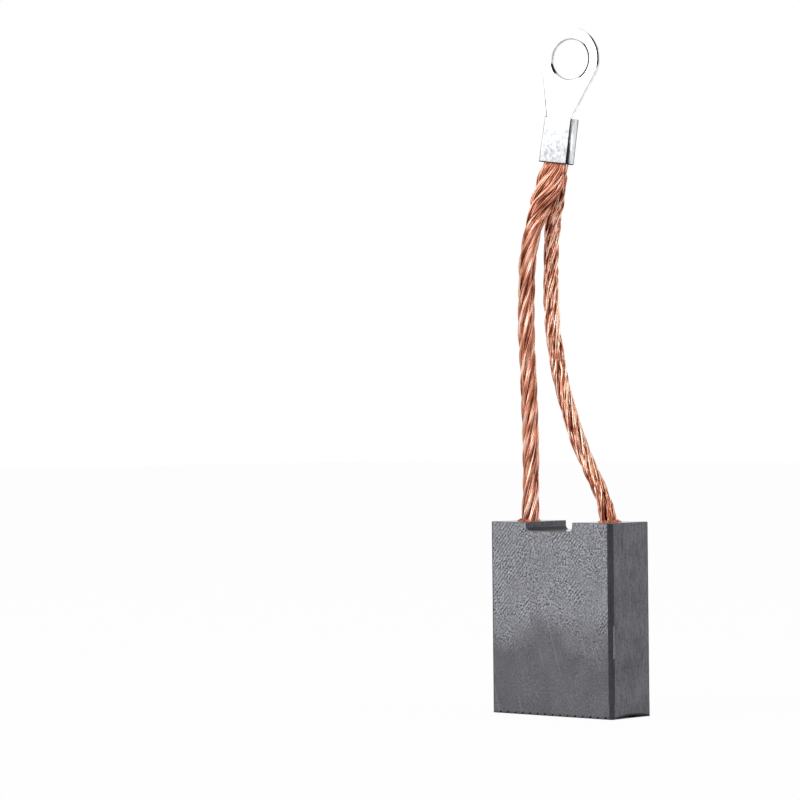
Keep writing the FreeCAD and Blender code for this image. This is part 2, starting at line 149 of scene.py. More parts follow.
class Shader:
    """A node tree that is built up call by call."""

    def __init__(self, tree: bpy.types.NodeTree, material: Material | None = None) -> None:
        """Work on a node tree.

        Args:
            tree: the tree of a material or of the world.
            material: the material, or None for the world.
        """
        self.tree = tree
        self.material = material
        self.surface = tree.nodes.get("Principled BSDF")
        self.coordinates = tree.nodes.new("ShaderNodeTexCoord").outputs["Object"]

    @classmethod
    def of_material(cls, name: str) -> "Shader":
        """Start a material with a Principled shader.

        Args:
            name: name of the material.

        Returns:
            The shader of the new material.
        """
        material = bpy.data.materials.new(name)
        material.use_nodes = True
        return cls(material.node_tree, material)

    def node(self, kind: str, settings: dict | None = None, **inputs: object) -> bpy.types.Node:
        """Add a node.

        Args:
            kind: the node's type, without its ShaderNode prefix.
            settings: properties to set on the node.
            **inputs: a value or an output socket for each input, with _ for a space in its name.

        Returns:
            The new node.
        """
        made = self.tree.nodes.new(f"ShaderNode{kind}")
        for key, value in (settings or {}).items():
            setattr(made, key, value)
        for key, value in inputs.items():
            self.feed(made.inputs[key.replace("_", " ")], value)
        return made

    def feed(self, socket: Socket, value: object) -> None:
        """Set a socket, or link an output to it.

        Args:
            socket: the input socket.
            value: a plain value or an output socket.
        """
        if isinstance(value, Socket):
            self.tree.links.new(value, socket)
        else:
            socket.default_value = value

    def math(self, operation: str, first: object, second: object = 0.0, third: object = 0.0) -> Socket:
        """Calculate with values.

        Args:
            operation: name of the operation.
            first: first value or output socket.
            second: second value or output socket.
            third: third value or output socket.

        Returns:
            The result.
        """
        made = self.node("Math", {"operation": operation})
        for socket, value in zip(made.inputs, (first, second, third)):
            self.feed(socket, value)
        return made.outputs[0]

    def total(self, *values: Socket) -> Socket:
        """Add up several values.

        Args:
            *values: the values.

        Returns:
            Their sum.
        """
        result = values[0]
        for value in values[1:]:
            result = self.math("ADD", result, value)
        return result

    def height(self) -> Socket:
        """Return the height over the wear face."""
        return self.node("SeparateXYZ", Vector=self.coordinates).outputs[2]

    def mapped(self, scale: Scale, turn: Angles = (0.0, 0.0, 0.0), source: Socket | None = None) -> Socket:
        """Turn and then scale coordinates.

        Args:
            scale: repeats per unit along each axis.
            turn: angles about the axes, in degrees.
            source: the coordinates, or None for the object's own in metres.

        Returns:
            The mapped coordinates.
        """
        angles = [math.radians(angle) for angle in turn]
        turned = self.node("Mapping", Vector=source or self.coordinates, Rotation=angles)
        return self.node("Mapping", Vector=turned.outputs[0], Scale=scale).outputs[0]

    def cloud(self, scale: Scale, turn: Angles = (0.0, 0.0, 0.0), detail: float = 3.0,
              roughness: float = 0.5, source: Socket | None = None) -> Socket:
        """Make a noise pattern on mapped coordinates.

        Args:
            scale: repeats per unit along each axis.
            turn: angles about the axes, in degrees.
            detail: octaves of the noise.
            roughness: share that each octave keeps of the one before.
            source: the coordinates, or None for the object's own in metres.

        Returns:
            The pattern, from about 0.25 to 0.75.
        """
        made = self.node("TexNoise", Vector=self.mapped(scale, turn, source), Scale=1.0, Detail=detail,
                         Roughness=roughness)
        return made.outputs[0]

    def graded(self, value: Socket, stops: Stops) -> Socket:
        """Turn a value into a colour by a ramp.

        Args:
            value: the value to grade.
            stops: position and colour of each stop, in order.

        Returns:
            The colour.
        """
        ramp = self.node("ValToRGB", Fac=value)
        elements = ramp.color_ramp.elements
        while len(elements) < len(stops):
            elements.new(0.5)
        for element, (position, colour) in zip(elements, stops):
            element.position = position
            element.color = (*colour, 1.0)
        return ramp.outputs[0]

    def stretched(self, value: Socket, low: float, high: float, start: float = 0.0,
                  end: float = 1.0) -> Socket:
        """Map a value's range from low and high to start and end, clamped.

        Args:
            value: the value to map.
            low: value that gives start.
            high: value that gives end.
            start: result at low.
            end: result at high.

        Returns:
            The mapped value.
        """
        made = self.node("MapRange", Value=value, From_Min=low, From_Max=high, To_Min=start, To_Max=end)
        return made.outputs[0]

    def mixed(self, share: object, first: object, second: object, blend: str = "MIX") -> Socket:
        """Mix two colours.

        Args:
            share: share of the second colour.
            first: first colour.
            second: second colour.
            blend: blend type of the mix.

        Returns:
            The mixed colour.
        """
        made = self.tree.nodes.new("ShaderNodeMix")
        made.data_type = "RGBA"
        made.blend_type = blend
        self.feed(made.inputs[0], share)
        for socket, value in ((made.inputs[6], first), (made.inputs[7], second)):
            self.feed(socket, (*value, 1.0) if isinstance(value, tuple) else value)
        return made.outputs[2]

    def grey(self, value: Socket) -> Socket:
        """Make a grey of a brightness."""
        return self.node("CombineXYZ", X=value, Y=value, Z=value).outputs[0]

    def foot_shaded(self, colour: Socket) -> Socket:
        """Darken a colour next to the wear face: painted shade of the block's contact shadow.

        Args:
            colour: the colour.

        Returns:
            The darkened colour.
        """
        # Painted shade: the colour darkens towards the wear face, as in a contact shadow.
        shade_height, foot_darkness = 0.7 * MM, 0.45
        shade = self.stretched(self.height(), 0.0, shade_height, foot_darkness, 1.0)
        return self.mixed(1.0, colour, self.grey(shade), "MULTIPLY")

    def bump(self, height: Socket, depth: float) -> Socket:
        """Turn a height pattern into a normal.

        Args:
            height: the pattern.
            depth: depth of the relief, in metres.

        Returns:
            The normal.
        """
        return self.node("Bump", Height=height, Distance=depth, Strength=1.0).outputs[0]

    def finish(self, **inputs: object) -> Material:
        """Set the Principled shader's inputs.

        Args:
            **inputs: a value or an output socket for each input, with _ for a space in its name.

        Returns:
            The material.
        """
        for key, value in inputs.items():
            self.feed(self.surface.inputs[key.replace("_", " ")], value)
        return self.material


@dataclass(frozen=True)
class Mottle:
    """A noise pattern whose values from low to high give results from start to end.

    Attributes:
        scale: repeats per metre along each axis.
        low: value of the noise that gives start.
        high: value of the noise that gives end.
        start: result at low.
        end: result at high.
        detail: octaves of the noise.
        lean: turn about Y, in degrees.
    """

    scale: Scale
    low: float
    high: float
    start: float = 0.0
    end: float = 1.0
    detail: float = 1.0
    lean: float = 0.0

    def on(self, shader: Shader) -> Socket:
        """Add the pattern to a material.

        Args:
            shader: the material.

        Returns:
            The pattern's result.
        """
        noise_value = shader.cloud(self.scale, (0.0, self.lean, 0.0), self.detail)
        return shader.stretched(noise_value, self.low, self.high, self.start, self.end)


@dataclass(frozen=True)
class CopperFinish:
    """Bare copper wire, with dull and bright stretches that run along each wire.

    Attributes:
        name: name of the material.
        stops: position in the pattern and colour, from the dullest stretch to the brightest.
        streak: repeats of the pattern along a wire, per millimetre, and from one wire to the next.
        roughness: roughness of the brightest and of the dullest stretch.
        trend: two distances along the rope, in millimetres, and what is added to the pattern at each.
    """

    name: str
    stops: Stops
    streak: Span
    roughness: Span
    trend: tuple[float, float, float, float] = (0.0, 1.0, 0.0, 0.0)

    def build(self) -> Material:
        """Make the material.

        Returns:
            The material.
        """
        shader = Shader.of_material(self.name)
        run = shader.node("UVMap", {"uv_map": WIRE_MAP}).outputs[0]
        along = shader.node("SeparateXYZ", Vector=run).outputs[0]
        streaks = shader.total(shader.cloud((*self.streak, 1.0), source=run),
                               shader.stretched(along, *self.trend))
        bright, dull = self.roughness
        return shader.finish(Base_Color=shader.graded(streaks, self.stops), Metallic=1.0,
                             Roughness=shader.stretched(streaks, 0.35, 0.65, dull, bright))


@dataclass(frozen=True)
class CarbonFinish:
    """Pressed or cut carbon, with a grain that runs one way across a face.

    Attributes:
        name: name of the material.
        dark: colour of the pores and scratches.
        light: colour of the high spots.
        grain: repeats of the grain per metre along each axis.
        roughness: roughness of the face.
        specular: strength of its gloss.
        relief: depth of the grain, in metres.
        pores: repeats of the pores per metre.
        wear: repeats per metre of the broad changes that handling has left.
    """

    name: str
    dark: Colour
    light: Colour
    grain: Scale
    roughness: float = 0.62
    specular: float = 0.35
    relief: float = 0.06 * MM
    pores: float = 2600.0
    wear: float = 140.0

    def build(self) -> Material:
        """Make the material.

        Returns:
            The material.
        """
        shader = Shader.of_material(self.name)
        grain = shader.cloud(self.grain, roughness=0.6)
        pores = shader.cloud((self.pores,) * 3, roughness=0.7)
        wear = shader.cloud((self.wear,) * 3, detail=2.0)
        fine = shader.math("MULTIPLY", shader.total(grain, pores), 0.4)
        pattern = shader.math("MULTIPLY_ADD", wear, 0.2, fine)
        colour = shader.graded(pattern, ((0.40, self.dark), (0.60, self.light)))
        # The darkening at the foot is painted shade.
        return shader.finish(Base_Color=shader.foot_shaded(colour), Roughness=self.roughness,
                             Normal=shader.bump(pattern, self.relief), Specular_IOR_Level=self.specular)


@dataclass(frozen=True)
class GroundCarbonFinish:
    """A broad face of the block: smooth below, and above it ground in patches of parallel scratches.

    Attributes:
        name: name of the material.
        smooth: brightness of the smooth part.
        ground: brightness of the ground part.
        tint: colour that the brightness is multiplied by.
        boundary: height where the ground part starts, and where it is full.
        shore: how far the boundary wanders up and down.
        scratch_lean: lean of the scratches from upright, in degrees.
        scratch_pitch: distance between scratches.
        scratch_depth: how far the scratches change the brightness.
        patches: where the scratches are.
        breaks: how the scratches break up along their way.
        grain: change of brightness by the grain.
        coarseness: how the strength of the grain changes from place to place.
        grain_depth: strength of the grain on the smooth part and on the ground part.
        rubs: long faint rub marks, which lean the other way.
        clouds: broad changes of brightness.
        relief: depth of the scratches and the grain, in metres.
    """

    name: str
    smooth: float = 0.104
    ground: float = 0.215
    tint: Colour = (0.96, 0.965, 1.075)
    boundary: Span = (9.0 * MM, 17.0 * MM)
    shore: Mottle = Mottle((75, 75, 75), 0.0, 1.0, -11.5 * MM, 6.5 * MM, 2.0)
    scratch_lean: float = 42.5
    scratch_pitch: float = 0.66 * MM
    scratch_depth: float = 0.27
    patches: Mottle = Mottle((120, 120, 95), 0.47, 0.60)
    breaks: Mottle = Mottle((1300, 1300, 1300), 0.38, 0.60, 0.2, 1.0)
    grain: Mottle = Mottle((2700, 2700, 2700), 0.37, 0.70, -0.13, 0.22, 2.0)
    coarseness: Mottle = Mottle((260, 260, 260), 0.40, 0.62, 0.70, 1.35)
    grain_depth: Span = (0.198, 0.90)
    rubs: Mottle = Mottle((1500, 1500, 70), 0.62, 0.72, 0.0, 0.07, 3.0, 18.0)
    clouds: Mottle = Mottle((210, 210, 160), 0.3, 0.7, -0.018, 0.018, 2.0)
    relief: float = 0.08 * MM

    def build(self) -> Material:
        """Make the material.

        Returns:
            The material.
        """
        shader = Shader.of_material(self.name)
        share = shader.stretched(shader.total(shader.height(), self.shore.on(shader)), *self.boundary)
        tone = shader.stretched(share, 0.0, 1.0, self.smooth, self.ground)
        marks = self.marks(shader, share)
        value = shader.total(tone, self.clouds.on(shader), self.rubs.on(shader), marks)
        colour = shader.mixed(1.0, shader.grey(value), self.tint, "MULTIPLY")
        # The darkening at the foot is painted shade.
        return shader.finish(Base_Color=shader.foot_shaded(colour), Roughness=0.58,
                             Normal=shader.bump(marks, self.relief), Specular_IOR_Level=0.4)

    def marks(self, shader: Shader, share: Socket) -> Socket:
        """Make the pattern of scratches and grain.

        Args:
            shader: the material to add it to.
            share: how far a place belongs to the ground part.

        Returns:
            The change of brightness.
        """
        cover = shader.math("MULTIPLY", self.patches.on(shader), self.breaks.on(shader))
        scratches = shader.math("MULTIPLY", self.scratches(shader), shader.math("MULTIPLY", cover, share))
        depth = shader.stretched(share, 0.0, 1.0, *self.grain_depth)
        strength = shader.math("MULTIPLY", self.coarseness.on(shader), depth)
        speckles = shader.math("MULTIPLY", self.grain.on(shader), strength)
        return shader.math("MULTIPLY_ADD", scratches, self.scratch_depth, speckles)

    def scratches(self, shader: Shader) -> Socket:
        """Make the pattern of parallel scratches.

        Args:
            shader: the material to add it to.

        Returns:
            The pattern, from -0.5 to 0.5.
        """
        # A band wave of scale 1 repeats at this distance.
        wave_length = math.tau / 20.0
        across = shader.mapped((1.0, 1.0, 0.12), (0.0, -self.scratch_lean, 0.0))
        wave = shader.node("TexWave", {"wave_type": "BANDS", "bands_direction": "X"}, Vector=across,
                           Scale=wave_length / self.scratch_pitch, Distortion=2.2, Detail=2.0,
                           Detail_Scale=1.6)
        return shader.math("SUBTRACT", wave.outputs[1], 0.5)


@dataclass(frozen=True)
class SheetFinish:
    """Tinned sheet metal, or its sheared edge, with painted shade and dark reflections where the mesh's
    painted-shade attribute says.

    Attributes:
        name: name of the material.
        dark: colour of the duller spots.
        light: colour of the clean sheet.
        mottle: repeats of the spots per metre.
        roughness: mean roughness.
        relief: depth of its unevenness, in metres.
        shade_colour: colour where the painted shade has fully darkened it.
        unevenness: what is added to the painted shade from place to place.
        darkening: painted shade at which it starts to darken, and at which it has fully darkened.
    """

    name: str
    dark: Colour
    light: Colour
    mottle: float
    roughness: float
    relief: float
    shade_colour: Colour = (0.022, 0.023, 0.026)
    unevenness: Mottle = Mottle((2100, 2100, 1300), 0.3, 0.7, -0.10, 0.10, 3.0)
    darkening: Span = (0.10, 0.80)

    def build(self) -> Material:
        """Make the material.

        Returns:
            The material.
        """
        shader = Shader.of_material(self.name)
        spots = shader.cloud((self.mottle,) * 3, roughness=0.6)
        clean = shader.graded(spots, ((0.36, self.dark), (0.60, self.light)))
        # Painted shade and dark reflections: the attribute darkens both the colour and the reflection's
        # tint.
        painted_shade = shader.node("Attribute", {"attribute_name": SHADE_ATTRIBUTE}).outputs["Fac"]
        share = shader.stretched(shader.total(painted_shade, self.unevenness.on(shader)), *self.darkening)
        roughness = shader.stretched(spots, 0.3, 0.7, self.roughness + 0.1, self.roughness - 0.06)
        return shader.finish(Base_Color=shader.mixed(share, clean, self.shade_colour), Metallic=1.0,
                             Specular_Tint=shader.mixed(share, (1.0, 1.0, 1.0), self.shade_colour),
                             Roughness=roughness, Normal=shader.bump(spots, self.relief))


@dataclass(frozen=True)
class PowderFinish:
    """Tamped copper powder.

    Attributes:
        name: name of the material.
        dark: colour between the grains.
        light: colour of the grains.
        grain: repeats of the grains per metre.
        relief: depth of the grains, in metres.
    """

    name: str
    dark: Colour
    light: Colour
    grain: float = 2600.0
    relief: float = 0.1 * MM

    def build(self) -> Material:
        """Make the material.

        Returns:
            The material.
        """
        shader = Shader.of_material(self.name)
        grains = shader.cloud((self.grain,) * 3, detail=2.0)
        colour = shader.graded(grains, ((0.42, self.dark), (0.60, self.light)))
        return shader.finish(Base_Color=colour, Metallic=0.6, Roughness=0.5,
                             Normal=shader.bump(grains, self.relief))


Finish = CopperFinish | CarbonFinish | GroundCarbonFinish | SheetFinish | PowderFinish

SATIN_COPPER = CopperFinish(
    "satin_copper",
    ((0.33, (0.13, 0.034, 0.018)), (0.43, (0.42, 0.150, 0.092)), (0.52, (0.72, 0.34, 0.225)),
     (0.595, (0.92, 0.57, 0.44)), (0.675, (0.98, 0.82, 0.72))),
    (0.18, 0.42), (0.22, 0.36), (62.0, 84.0, 0.0, -0.06))
STREAKED_COPPER = CopperFinish(
    "streaked_copper",
    ((0.32, (0.13, 0.028, 0.014)), (0.43, (0.38, 0.125, 0.070)), (0.52, (0.66, 0.30, 0.19)),
     (0.59, (0.92, 0.59, 0.45)), (0.68, (0.98, 0.83, 0.73))),
    (0.38, 0.80), (0.20, 0.42), (15.0, 62.0, -0.025, 0.045))
# The core's dark copper is painted shade of the rope's inside.
SHADED_CORE_COPPER = CopperFinish("shaded_core_copper", ((0.35, (0.12, 0.030, 0.018)), (0.65, (0.27, 0.085, 0.050))),
                           (0.30, 0.43), (0.40, 0.50))
STRAY_COPPER = CopperFinish("stray_copper", ((0.35, (0.66, 0.32, 0.20)), (0.60, (0.96, 0.76, 0.63))),
                            (0.35, 0.43), (0.26, 0.38))
CARBON_BROAD = GroundCarbonFinish("carbon_broad")
CARBON_SIDE = CarbonFinish("carbon_side", (0.066, 0.067, 0.078), (0.178, 0.179, 0.200), (3600, 3600, 420))
CARBON_EDGE = CarbonFinish("carbon_edge", (0.016, 0.017, 0.021), (0.048, 0.049, 0.056), (2600, 2600, 500))
# Near black: painted shade under the block and in the grooves of its wear face.
CARBON_WORN_SHADED = CarbonFinish("carbon_worn_shaded", (0.010, 0.010, 0.012), (0.040, 0.040, 0.044), (3000, 400, 3000))
CARBON_HEAD = CarbonFinish("carbon_head", (0.12, 0.122, 0.13), (0.22, 0.22, 0.23), (2600, 900, 2600),
                           roughness=0.14, specular=0.6, relief=0.004 * MM)
TINNED = SheetFinish("tin", (0.64, 0.66, 0.69), (0.80, 0.81, 0.82), 1100.0, 0.28, 0.05 * MM)
SHEARED = SheetFinish("tin_edge", (0.72, 0.73, 0.75), (0.95, 0.955, 0.96), 700.0, 0.40, 0.06 * MM)
POWDER = PowderFinish("tamped_grains", (0.30, 0.050, 0.020), (0.86, 0.36, 0.20))
BLOCK_FINISHES = {
    BlockFace.BROAD: CARBON_BROAD,
    BlockFace.SIDE: CARBON_SIDE,
    BlockFace.EDGE: CARBON_EDGE,
    BlockFace.WORN: CARBON_WORN_SHADED,
    BlockFace.HEAD: CARBON_HEAD,
}


def built(finish: Finish) -> Material:
    """Return a finish's material, built on its first use."""
    return bpy.data.materials.get(finish.name) or finish.build()


@dataclass(frozen=True)
class Softbox:
    """A square softbox.

    Attributes:
        name: name of the light.
        place: where it hangs.
        target: the point that it faces.
        size: side of the square.
        power: power in watts.
    """

    name: str
    place: Place
    target: Place
    size: float
    power: float

    def hang(self) -> None:
        """Add the light to the scene."""
        data = bpy.data.lights.new(self.name, "AREA")
        data.shape = "SQUARE"
        data.size = self.size
        data.energy = self.power
        light = bpy.data.objects.new(self.name, data)
        bpy.context.scene.collection.objects.link(light)
        light.location = self.place
        way = Vector(self.target) - Vector(self.place)
        light.rotation_euler = way.to_track_quat("-Z", "Y").to_euler()


@dataclass
class Studio:
    """Camera, floor, backdrop and lights.

    Attributes:
        footprint: half the width and half the thickness of the block that stands on the floor.
        camera_place: the camera's place.
        heading: turn of the view about Z from +Y, in degrees.
        climb: how far the view looks up, in degrees.
        roll: roll of the picture, in degrees.
        lens: focal length for a 36 mm sensor, in millimetres.
        floor_size: side of the floor.
        floor_glow: share of plain white in the floor as the camera sees it. The rest keeps the shadow.
        fill: strength of the white that lights the object from all round.
        softboxes: the lights.
    """

    footprint: Span
    camera_place: Place = (0.4605, -0.5449, 0.0602)
    heading: float = 42.93
    climb: float = 0.30
    roll: float = -0.59
    lens: float = 158.3
    floor_size: float = 6.0
    floor_glow: float = 0.965
    fill: float = 0.55
    softboxes: tuple[Softbox, ...] = (
        Softbox("key", (-0.40, -0.85, 0.42), (0.0, 0.0, 0.07), 0.8, 5.5),
        Softbox("rim", (0.75, 0.35, 0.45), (0.0, 0.0, 0.06), 0.4, 1.6))

    def add_camera(self) -> Object:
        """Place the camera where the photograph was taken from.

        Returns:
            The camera.
        """
        data = bpy.data.cameras.new("camera")
        data.lens = self.lens
        data.clip_start, data.clip_end = 0.01, 50.0
        camera = bpy.data.objects.new("camera", data)
        bpy.context.scene.collection.objects.link(camera)
        turn = Matrix.Rotation(math.radians(self.heading), 4, "Z")
        tilt = Matrix.Rotation(math.radians(90.0 + self.climb), 4, "X")
        roll = Matrix.Rotation(math.radians(self.roll), 4, "Z")
        camera.matrix_world = Matrix.Translation(self.camera_place) @ turn @ tilt @ roll
        bpy.context.scene.camera = camera
        return camera

    def seen_white(self, shader: Shader) -> Socket:
        """Give 1 for rays that show the backdrop: camera, glossy and transmission rays.

        Args:
            shader: the material or world to add the nodes to.

        Returns:
            The share, 0 or 1.
        """
        rays = shader.tree.nodes.new("ShaderNodeLightPath").outputs
        seen = shader.math("MAXIMUM", rays["Is Camera Ray"], rays["Is Glossy Ray"])
        return shader.math("MAXIMUM", seen, rays["Is Transmission Ray"])

    def uncovered(self, shader: Shader) -> Socket:
        """Give 0 where the block stands on the floor and 1 elsewhere.

        Args:
            shader: the floor's material.

        Returns:
            The share, from 0 to 1.
        """
        place = shader.node("SeparateXYZ", Vector=shader.coordinates).outputs
        outside = []
        for axis, half in enumerate(self.footprint):
            distance = shader.math("ABSOLUTE", place[axis])
            outside.append(shader.stretched(distance, half - 0.5 * MM, half + 0.2 * MM))
        return shader.math("MAXIMUM", *outside)

    def add_floor(self) -> Object:
        """Lay a pale floor that reads as white and keeps a faint shadow.

        Returns:
            The floor.
        """
        mesh = bpy.data.meshes.new("floor")
        shape = bmesh.new()
        bmesh.ops.create_grid(shape, x_segments=1, y_segments=1, size=self.floor_size / 2)
        shape.to_mesh(mesh)
        shape.free()
        floor = bpy.data.objects.new("floor", mesh)
        bpy.context.scene.collection.objects.link(floor)
        shader = Shader.of_material("pale_floor")
        shader.finish(Base_Color=(0.82, 0.82, 0.82, 1.0), Roughness=0.9, Specular_IOR_Level=0.1)
        glow = shader.node("Emission", Color=(1.0, 1.0, 1.0, 1.0), Strength=1.0)
        white = shader.math("MULTIPLY", self.seen_white(shader), self.floor_glow)
        mix = shader.node("MixShader", Fac=shader.math("MULTIPLY", white, self.uncovered(shader)))
        shader.feed(mix.inputs[1], shader.surface.outputs[0])
        shader.feed(mix.inputs[2], glow.outputs[0])
        shader.feed(shader.tree.nodes["Material Output"].inputs["Surface"], mix.outputs[0])
        mesh.materials.append(shader.material)
        return floor

    def set_world(self) -> None:
        """Surround the scene with white that lights the object only softly."""
        world = bpy.data.worlds.new("studio")
        bpy.context.scene.world = world
        world.use_nodes = True
        shader = Shader(world.node_tree)
        background = shader.tree.nodes["Background"]
        background.inputs["Color"].default_value = (1.0, 1.0, 1.0, 1.0)
        strength = shader.stretched(self.seen_white(shader), 0.0, 1.0, self.fill, 1.0)
        shader.feed(background.inputs["Strength"], strength)

    def build(self) -> None:
        """Set up the whole studio."""
        self.add_camera()
        self.add_floor()
        self.set_world()
        for softbox in self.softboxes:
            softbox.hang()
        bpy.context.scene.view_settings.view_transform = "Standard"


def make_piece(name: str, shape: Shape, node: str,
               materials: list[Material]) -> Object:
    """Turn a finished bmesh into a piece that stands for a node.

    Args:
        name: name of the piece.
        shape: the finished bmesh, which is freed.
        node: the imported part's node that the piece stands for.
        materials: the piece's materials, in the order that its faces number them.

    Returns:
        The piece.
    """
    mesh = bpy.data.meshes.new(name)
    for material in materials:
        mesh.materials.append(material)
    shape.to_mesh(mesh)
    shape.free()
    piece = bpy.data.objects.new(name, mesh)
    bpy.context.scene.collection.objects.link(piece)
    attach(piece, "root")
    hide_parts(node)
    LOG.info("%s: %d triangles", name, sum(len(face.vertices) - 2 for face in mesh.polygons))
    return piece


def merged_copy(node: Object) -> Shape:
    """Copy a node's mesh with its doubled points merged and its flat faces made whole.

    Args:
        node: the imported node.

    Returns:
        The copy, to shape further.
    """
    shape = bmesh.new()
    shape.from_mesh(node.data)
    bmesh.ops.remove_doubles(shape, verts=shape.verts, dist=0.002 * MM)
    bmesh.ops.dissolve_limit(shape, angle_limit=math.radians(0.5), verts=shape.verts, edges=shape.edges)
    return shape


@dataclass(frozen=True)
class TerminalFrame:
    """Place of the ring terminal: X across it, Y towards its back and Z up its barrel.

    Attributes:
        mouth: middle of the barrel's lower edge on the front face, its height over the block's head.
        turn: turn about Z, in degrees.
        lean: lean about the turned Y axis, in degrees.
    """

    mouth: Place = (-0.0005, -0.0032, 0.0725)
    turn: float = 12.0
    lean: float = 8.0

    def matrix(self, head: float) -> Matrix:
        """Return the matrix from the terminal's frame to the object's.

        Args:
            head: height of the block's head.

        Returns:
            The matrix.
        """
        place = Vector(self.mouth) + UP * head
        turn = Matrix.Rotation(math.radians(self.turn), 4, "Z")
        lean = Matrix.Rotation(math.radians(self.lean), 4, "Y")
        return Matrix.Translation(place) @ turn @ lean


@dataclass(frozen=True)
class Section:
    """Cross-section of a lead at one point of its line.

    Attributes:
        centre: middle of the section.
        across: direction of its width.
        behind: direction of its thickness.
        half_width: half its width.
        half_depth: half its thickness.
        squareness: 0 for an ellipse, 1 for a flattened, nearly square outline.
    """

    centre: Vector
    across: Vector
    behind: Vector
    half_width: float
    half_depth: float
    squareness: float

    def point(self, radius: float, angle: float) -> Vector:
        """Place a point given in the round section's polar coordinates.

        Args:
            radius: distance from the middle, where 1 is the edge.
            angle: angle from the width's direction, in radians.

        Returns:
            The point.
        """
        power = 2.0 + 2.0 * self.squareness
        reach = (abs(math.cos(angle)) ** power + abs(math.sin(angle)) ** power) ** (-1.0 / power)
        x, y = math.cos(angle) * radius * reach, math.sin(angle) * radius * reach
        return self.centre + self.across * (x * self.half_width) + self.behind * (y * self.half_depth)


class WireMesh:
    """A mesh of many round wires, with a map that runs along each wire and from wire to wire."""

    RING = 6

    def __init__(self, finishes: tuple[CopperFinish, ...], spacing: float) -> None:
        """Start an empty mesh.

        Args:
            finishes: a finish for each kind of wire, in their order.
            spacing: distance between the points of a wire.
        """
        self.shape = bmesh.new()
        self.spacing = spacing
        self.count = 0
        self.materials = [built(finish) for finish in finishes]
        self.data = bpy.data.curves.new("wire", "CURVE")
        self.data.dimensions = "3D"
        self.data.bevel_depth = 0.1 * MM
        self.data.bevel_resolution = 1
        for material in self.materials:
            self.data.materials.append(material)
        self.curve = bpy.data.objects.new("wire", self.data)

    def add(self, points: list[Vector], radii: list[float], start: float, kind: WireKind) -> None:
        """Add a wire.

        Args:
            points: its points.
            radii: its radius at each point.
            start: distance of its first point along the rope.
            kind: its kind, which gives its finish.
        """
        self.data.splines.clear()
        spline = self.data.splines.new("POLY")
        spline.points.add(len(points) - 1)
        for point, place, radius in zip(spline.points, points, radii):
            point.co = (*place, 1.0)
            point.radius = radius / self.data.bevel_depth
        spline.material_index = kind
        mesh = bpy.data.meshes.new_from_object(self.curve)
        mapped = mesh.uv_layers[WIRE_MAP].data
        for loop, place in zip(mesh.loops, mapped):
            along = start + loop.vertex_index // self.RING * self.spacing
            place.uv = (along / MM, self.count)
        self.shape.from_mesh(mesh)
        bpy.data.meshes.remove(mesh)
        self.count += 1

    def add_filling(self, sections: list[Section], share: float) -> None:
        """Add a smooth filling that follows sections of the rope, in the core's dark copper: painted shade
        in the gaps.

        Args:
            sections: the sections.
            share: its size as a share of theirs.
        """
        before: list[Edge] = []
        for section in sections:
            along = section.across.cross(section.behind) * section.half_width
            axes = (section.across * section.half_width, section.behind * section.half_depth, along)
            place = Matrix([(*axis, 0.0) for axis in axes] + [(*section.centre, 1.0)]).transposed()
            verts = bmesh.ops.create_circle(self.shape, segments=16, radius=share, matrix=place)["verts"]
            ring = list({edge for vert in verts for edge in vert.link_edges})
            if before:
                for face in bmesh.ops.bridge_loops(self.shape, edges=before + ring)["faces"]:
                    face.material_index = WireKind.CORE
            before = ring

    def closed(self) -> Shape:
        """Close the wires' ends and let go of the curve.

        Returns:
            The finished bmesh.
        """
        open_edges = [edge for edge in self.shape.edges if edge.is_boundary]
        bmesh.ops.holes_fill(self.shape, edges=open_edges, sides=0)
        bmesh.ops.recalc_face_normals(self.shape, faces=self.shape.faces)
        for face in self.shape.faces:
            face.smooth = len(face.verts) < self.RING
        bpy.data.objects.remove(self.curve)
        bpy.data.curves.remove(self.data)
        return self.shape


@dataclass(frozen=True)
class Stage:
    """A lead's section at one height over the barrel's mouth.

    Attributes:
        height: the height, negative below the mouth.
        half_width: half its width.
        half_depth: half its thickness.
        behind: distance of its middle behind the terminal's front.
        aside: distance of its middle from the barrel's middle.
    """

    height: float
    half_width: float
    half_depth: float
    behind: float
    aside: float

    def eased(self, later: "Stage", height: float) -> "Stage":
        """Ease from this stage to a later one.

        Args:
            later: the later stage.
            height: the height to work out.

        Returns:
            The section at that height.
        """
        share = smooth_step(self.height, later.height, height)
        pairs = zip(astuple(self), astuple(later))
        return Stage(*(before + (after - before) * share for before, after in pairs))


@dataclass(frozen=True)
class Spread:
    """How a lead flattens into its side of the barrel.

    Attributes:
        start: height over the barrel's mouth where it starts to flatten.
        broad: half its broadest width, below the mouth.
        mouth: half its width in the mouth.
        aside: distance of its middle from the barrel's middle, below the mouth.
    """

    start: float
    broad: float
    mouth: float
    aside: float


SPREADS = {
    Side.FRONT: Spread(-15.0 * MM, 3.15 * MM, 2.7 * MM, -0.30 * MM),
    Side.BACK: Spread(-18.0 * MM, 2.6 * MM, 2.6 * MM, 0.0),
}


@dataclass(frozen=True)
class Drift:
    """A slow random change along a lead.

    Attributes:
        reach: distance over which it changes.
        slack: its size at a looseness of 1.
        size: what is added to its size on any rope.
    """

    reach: float
    slack: float
    size: float = 0.0


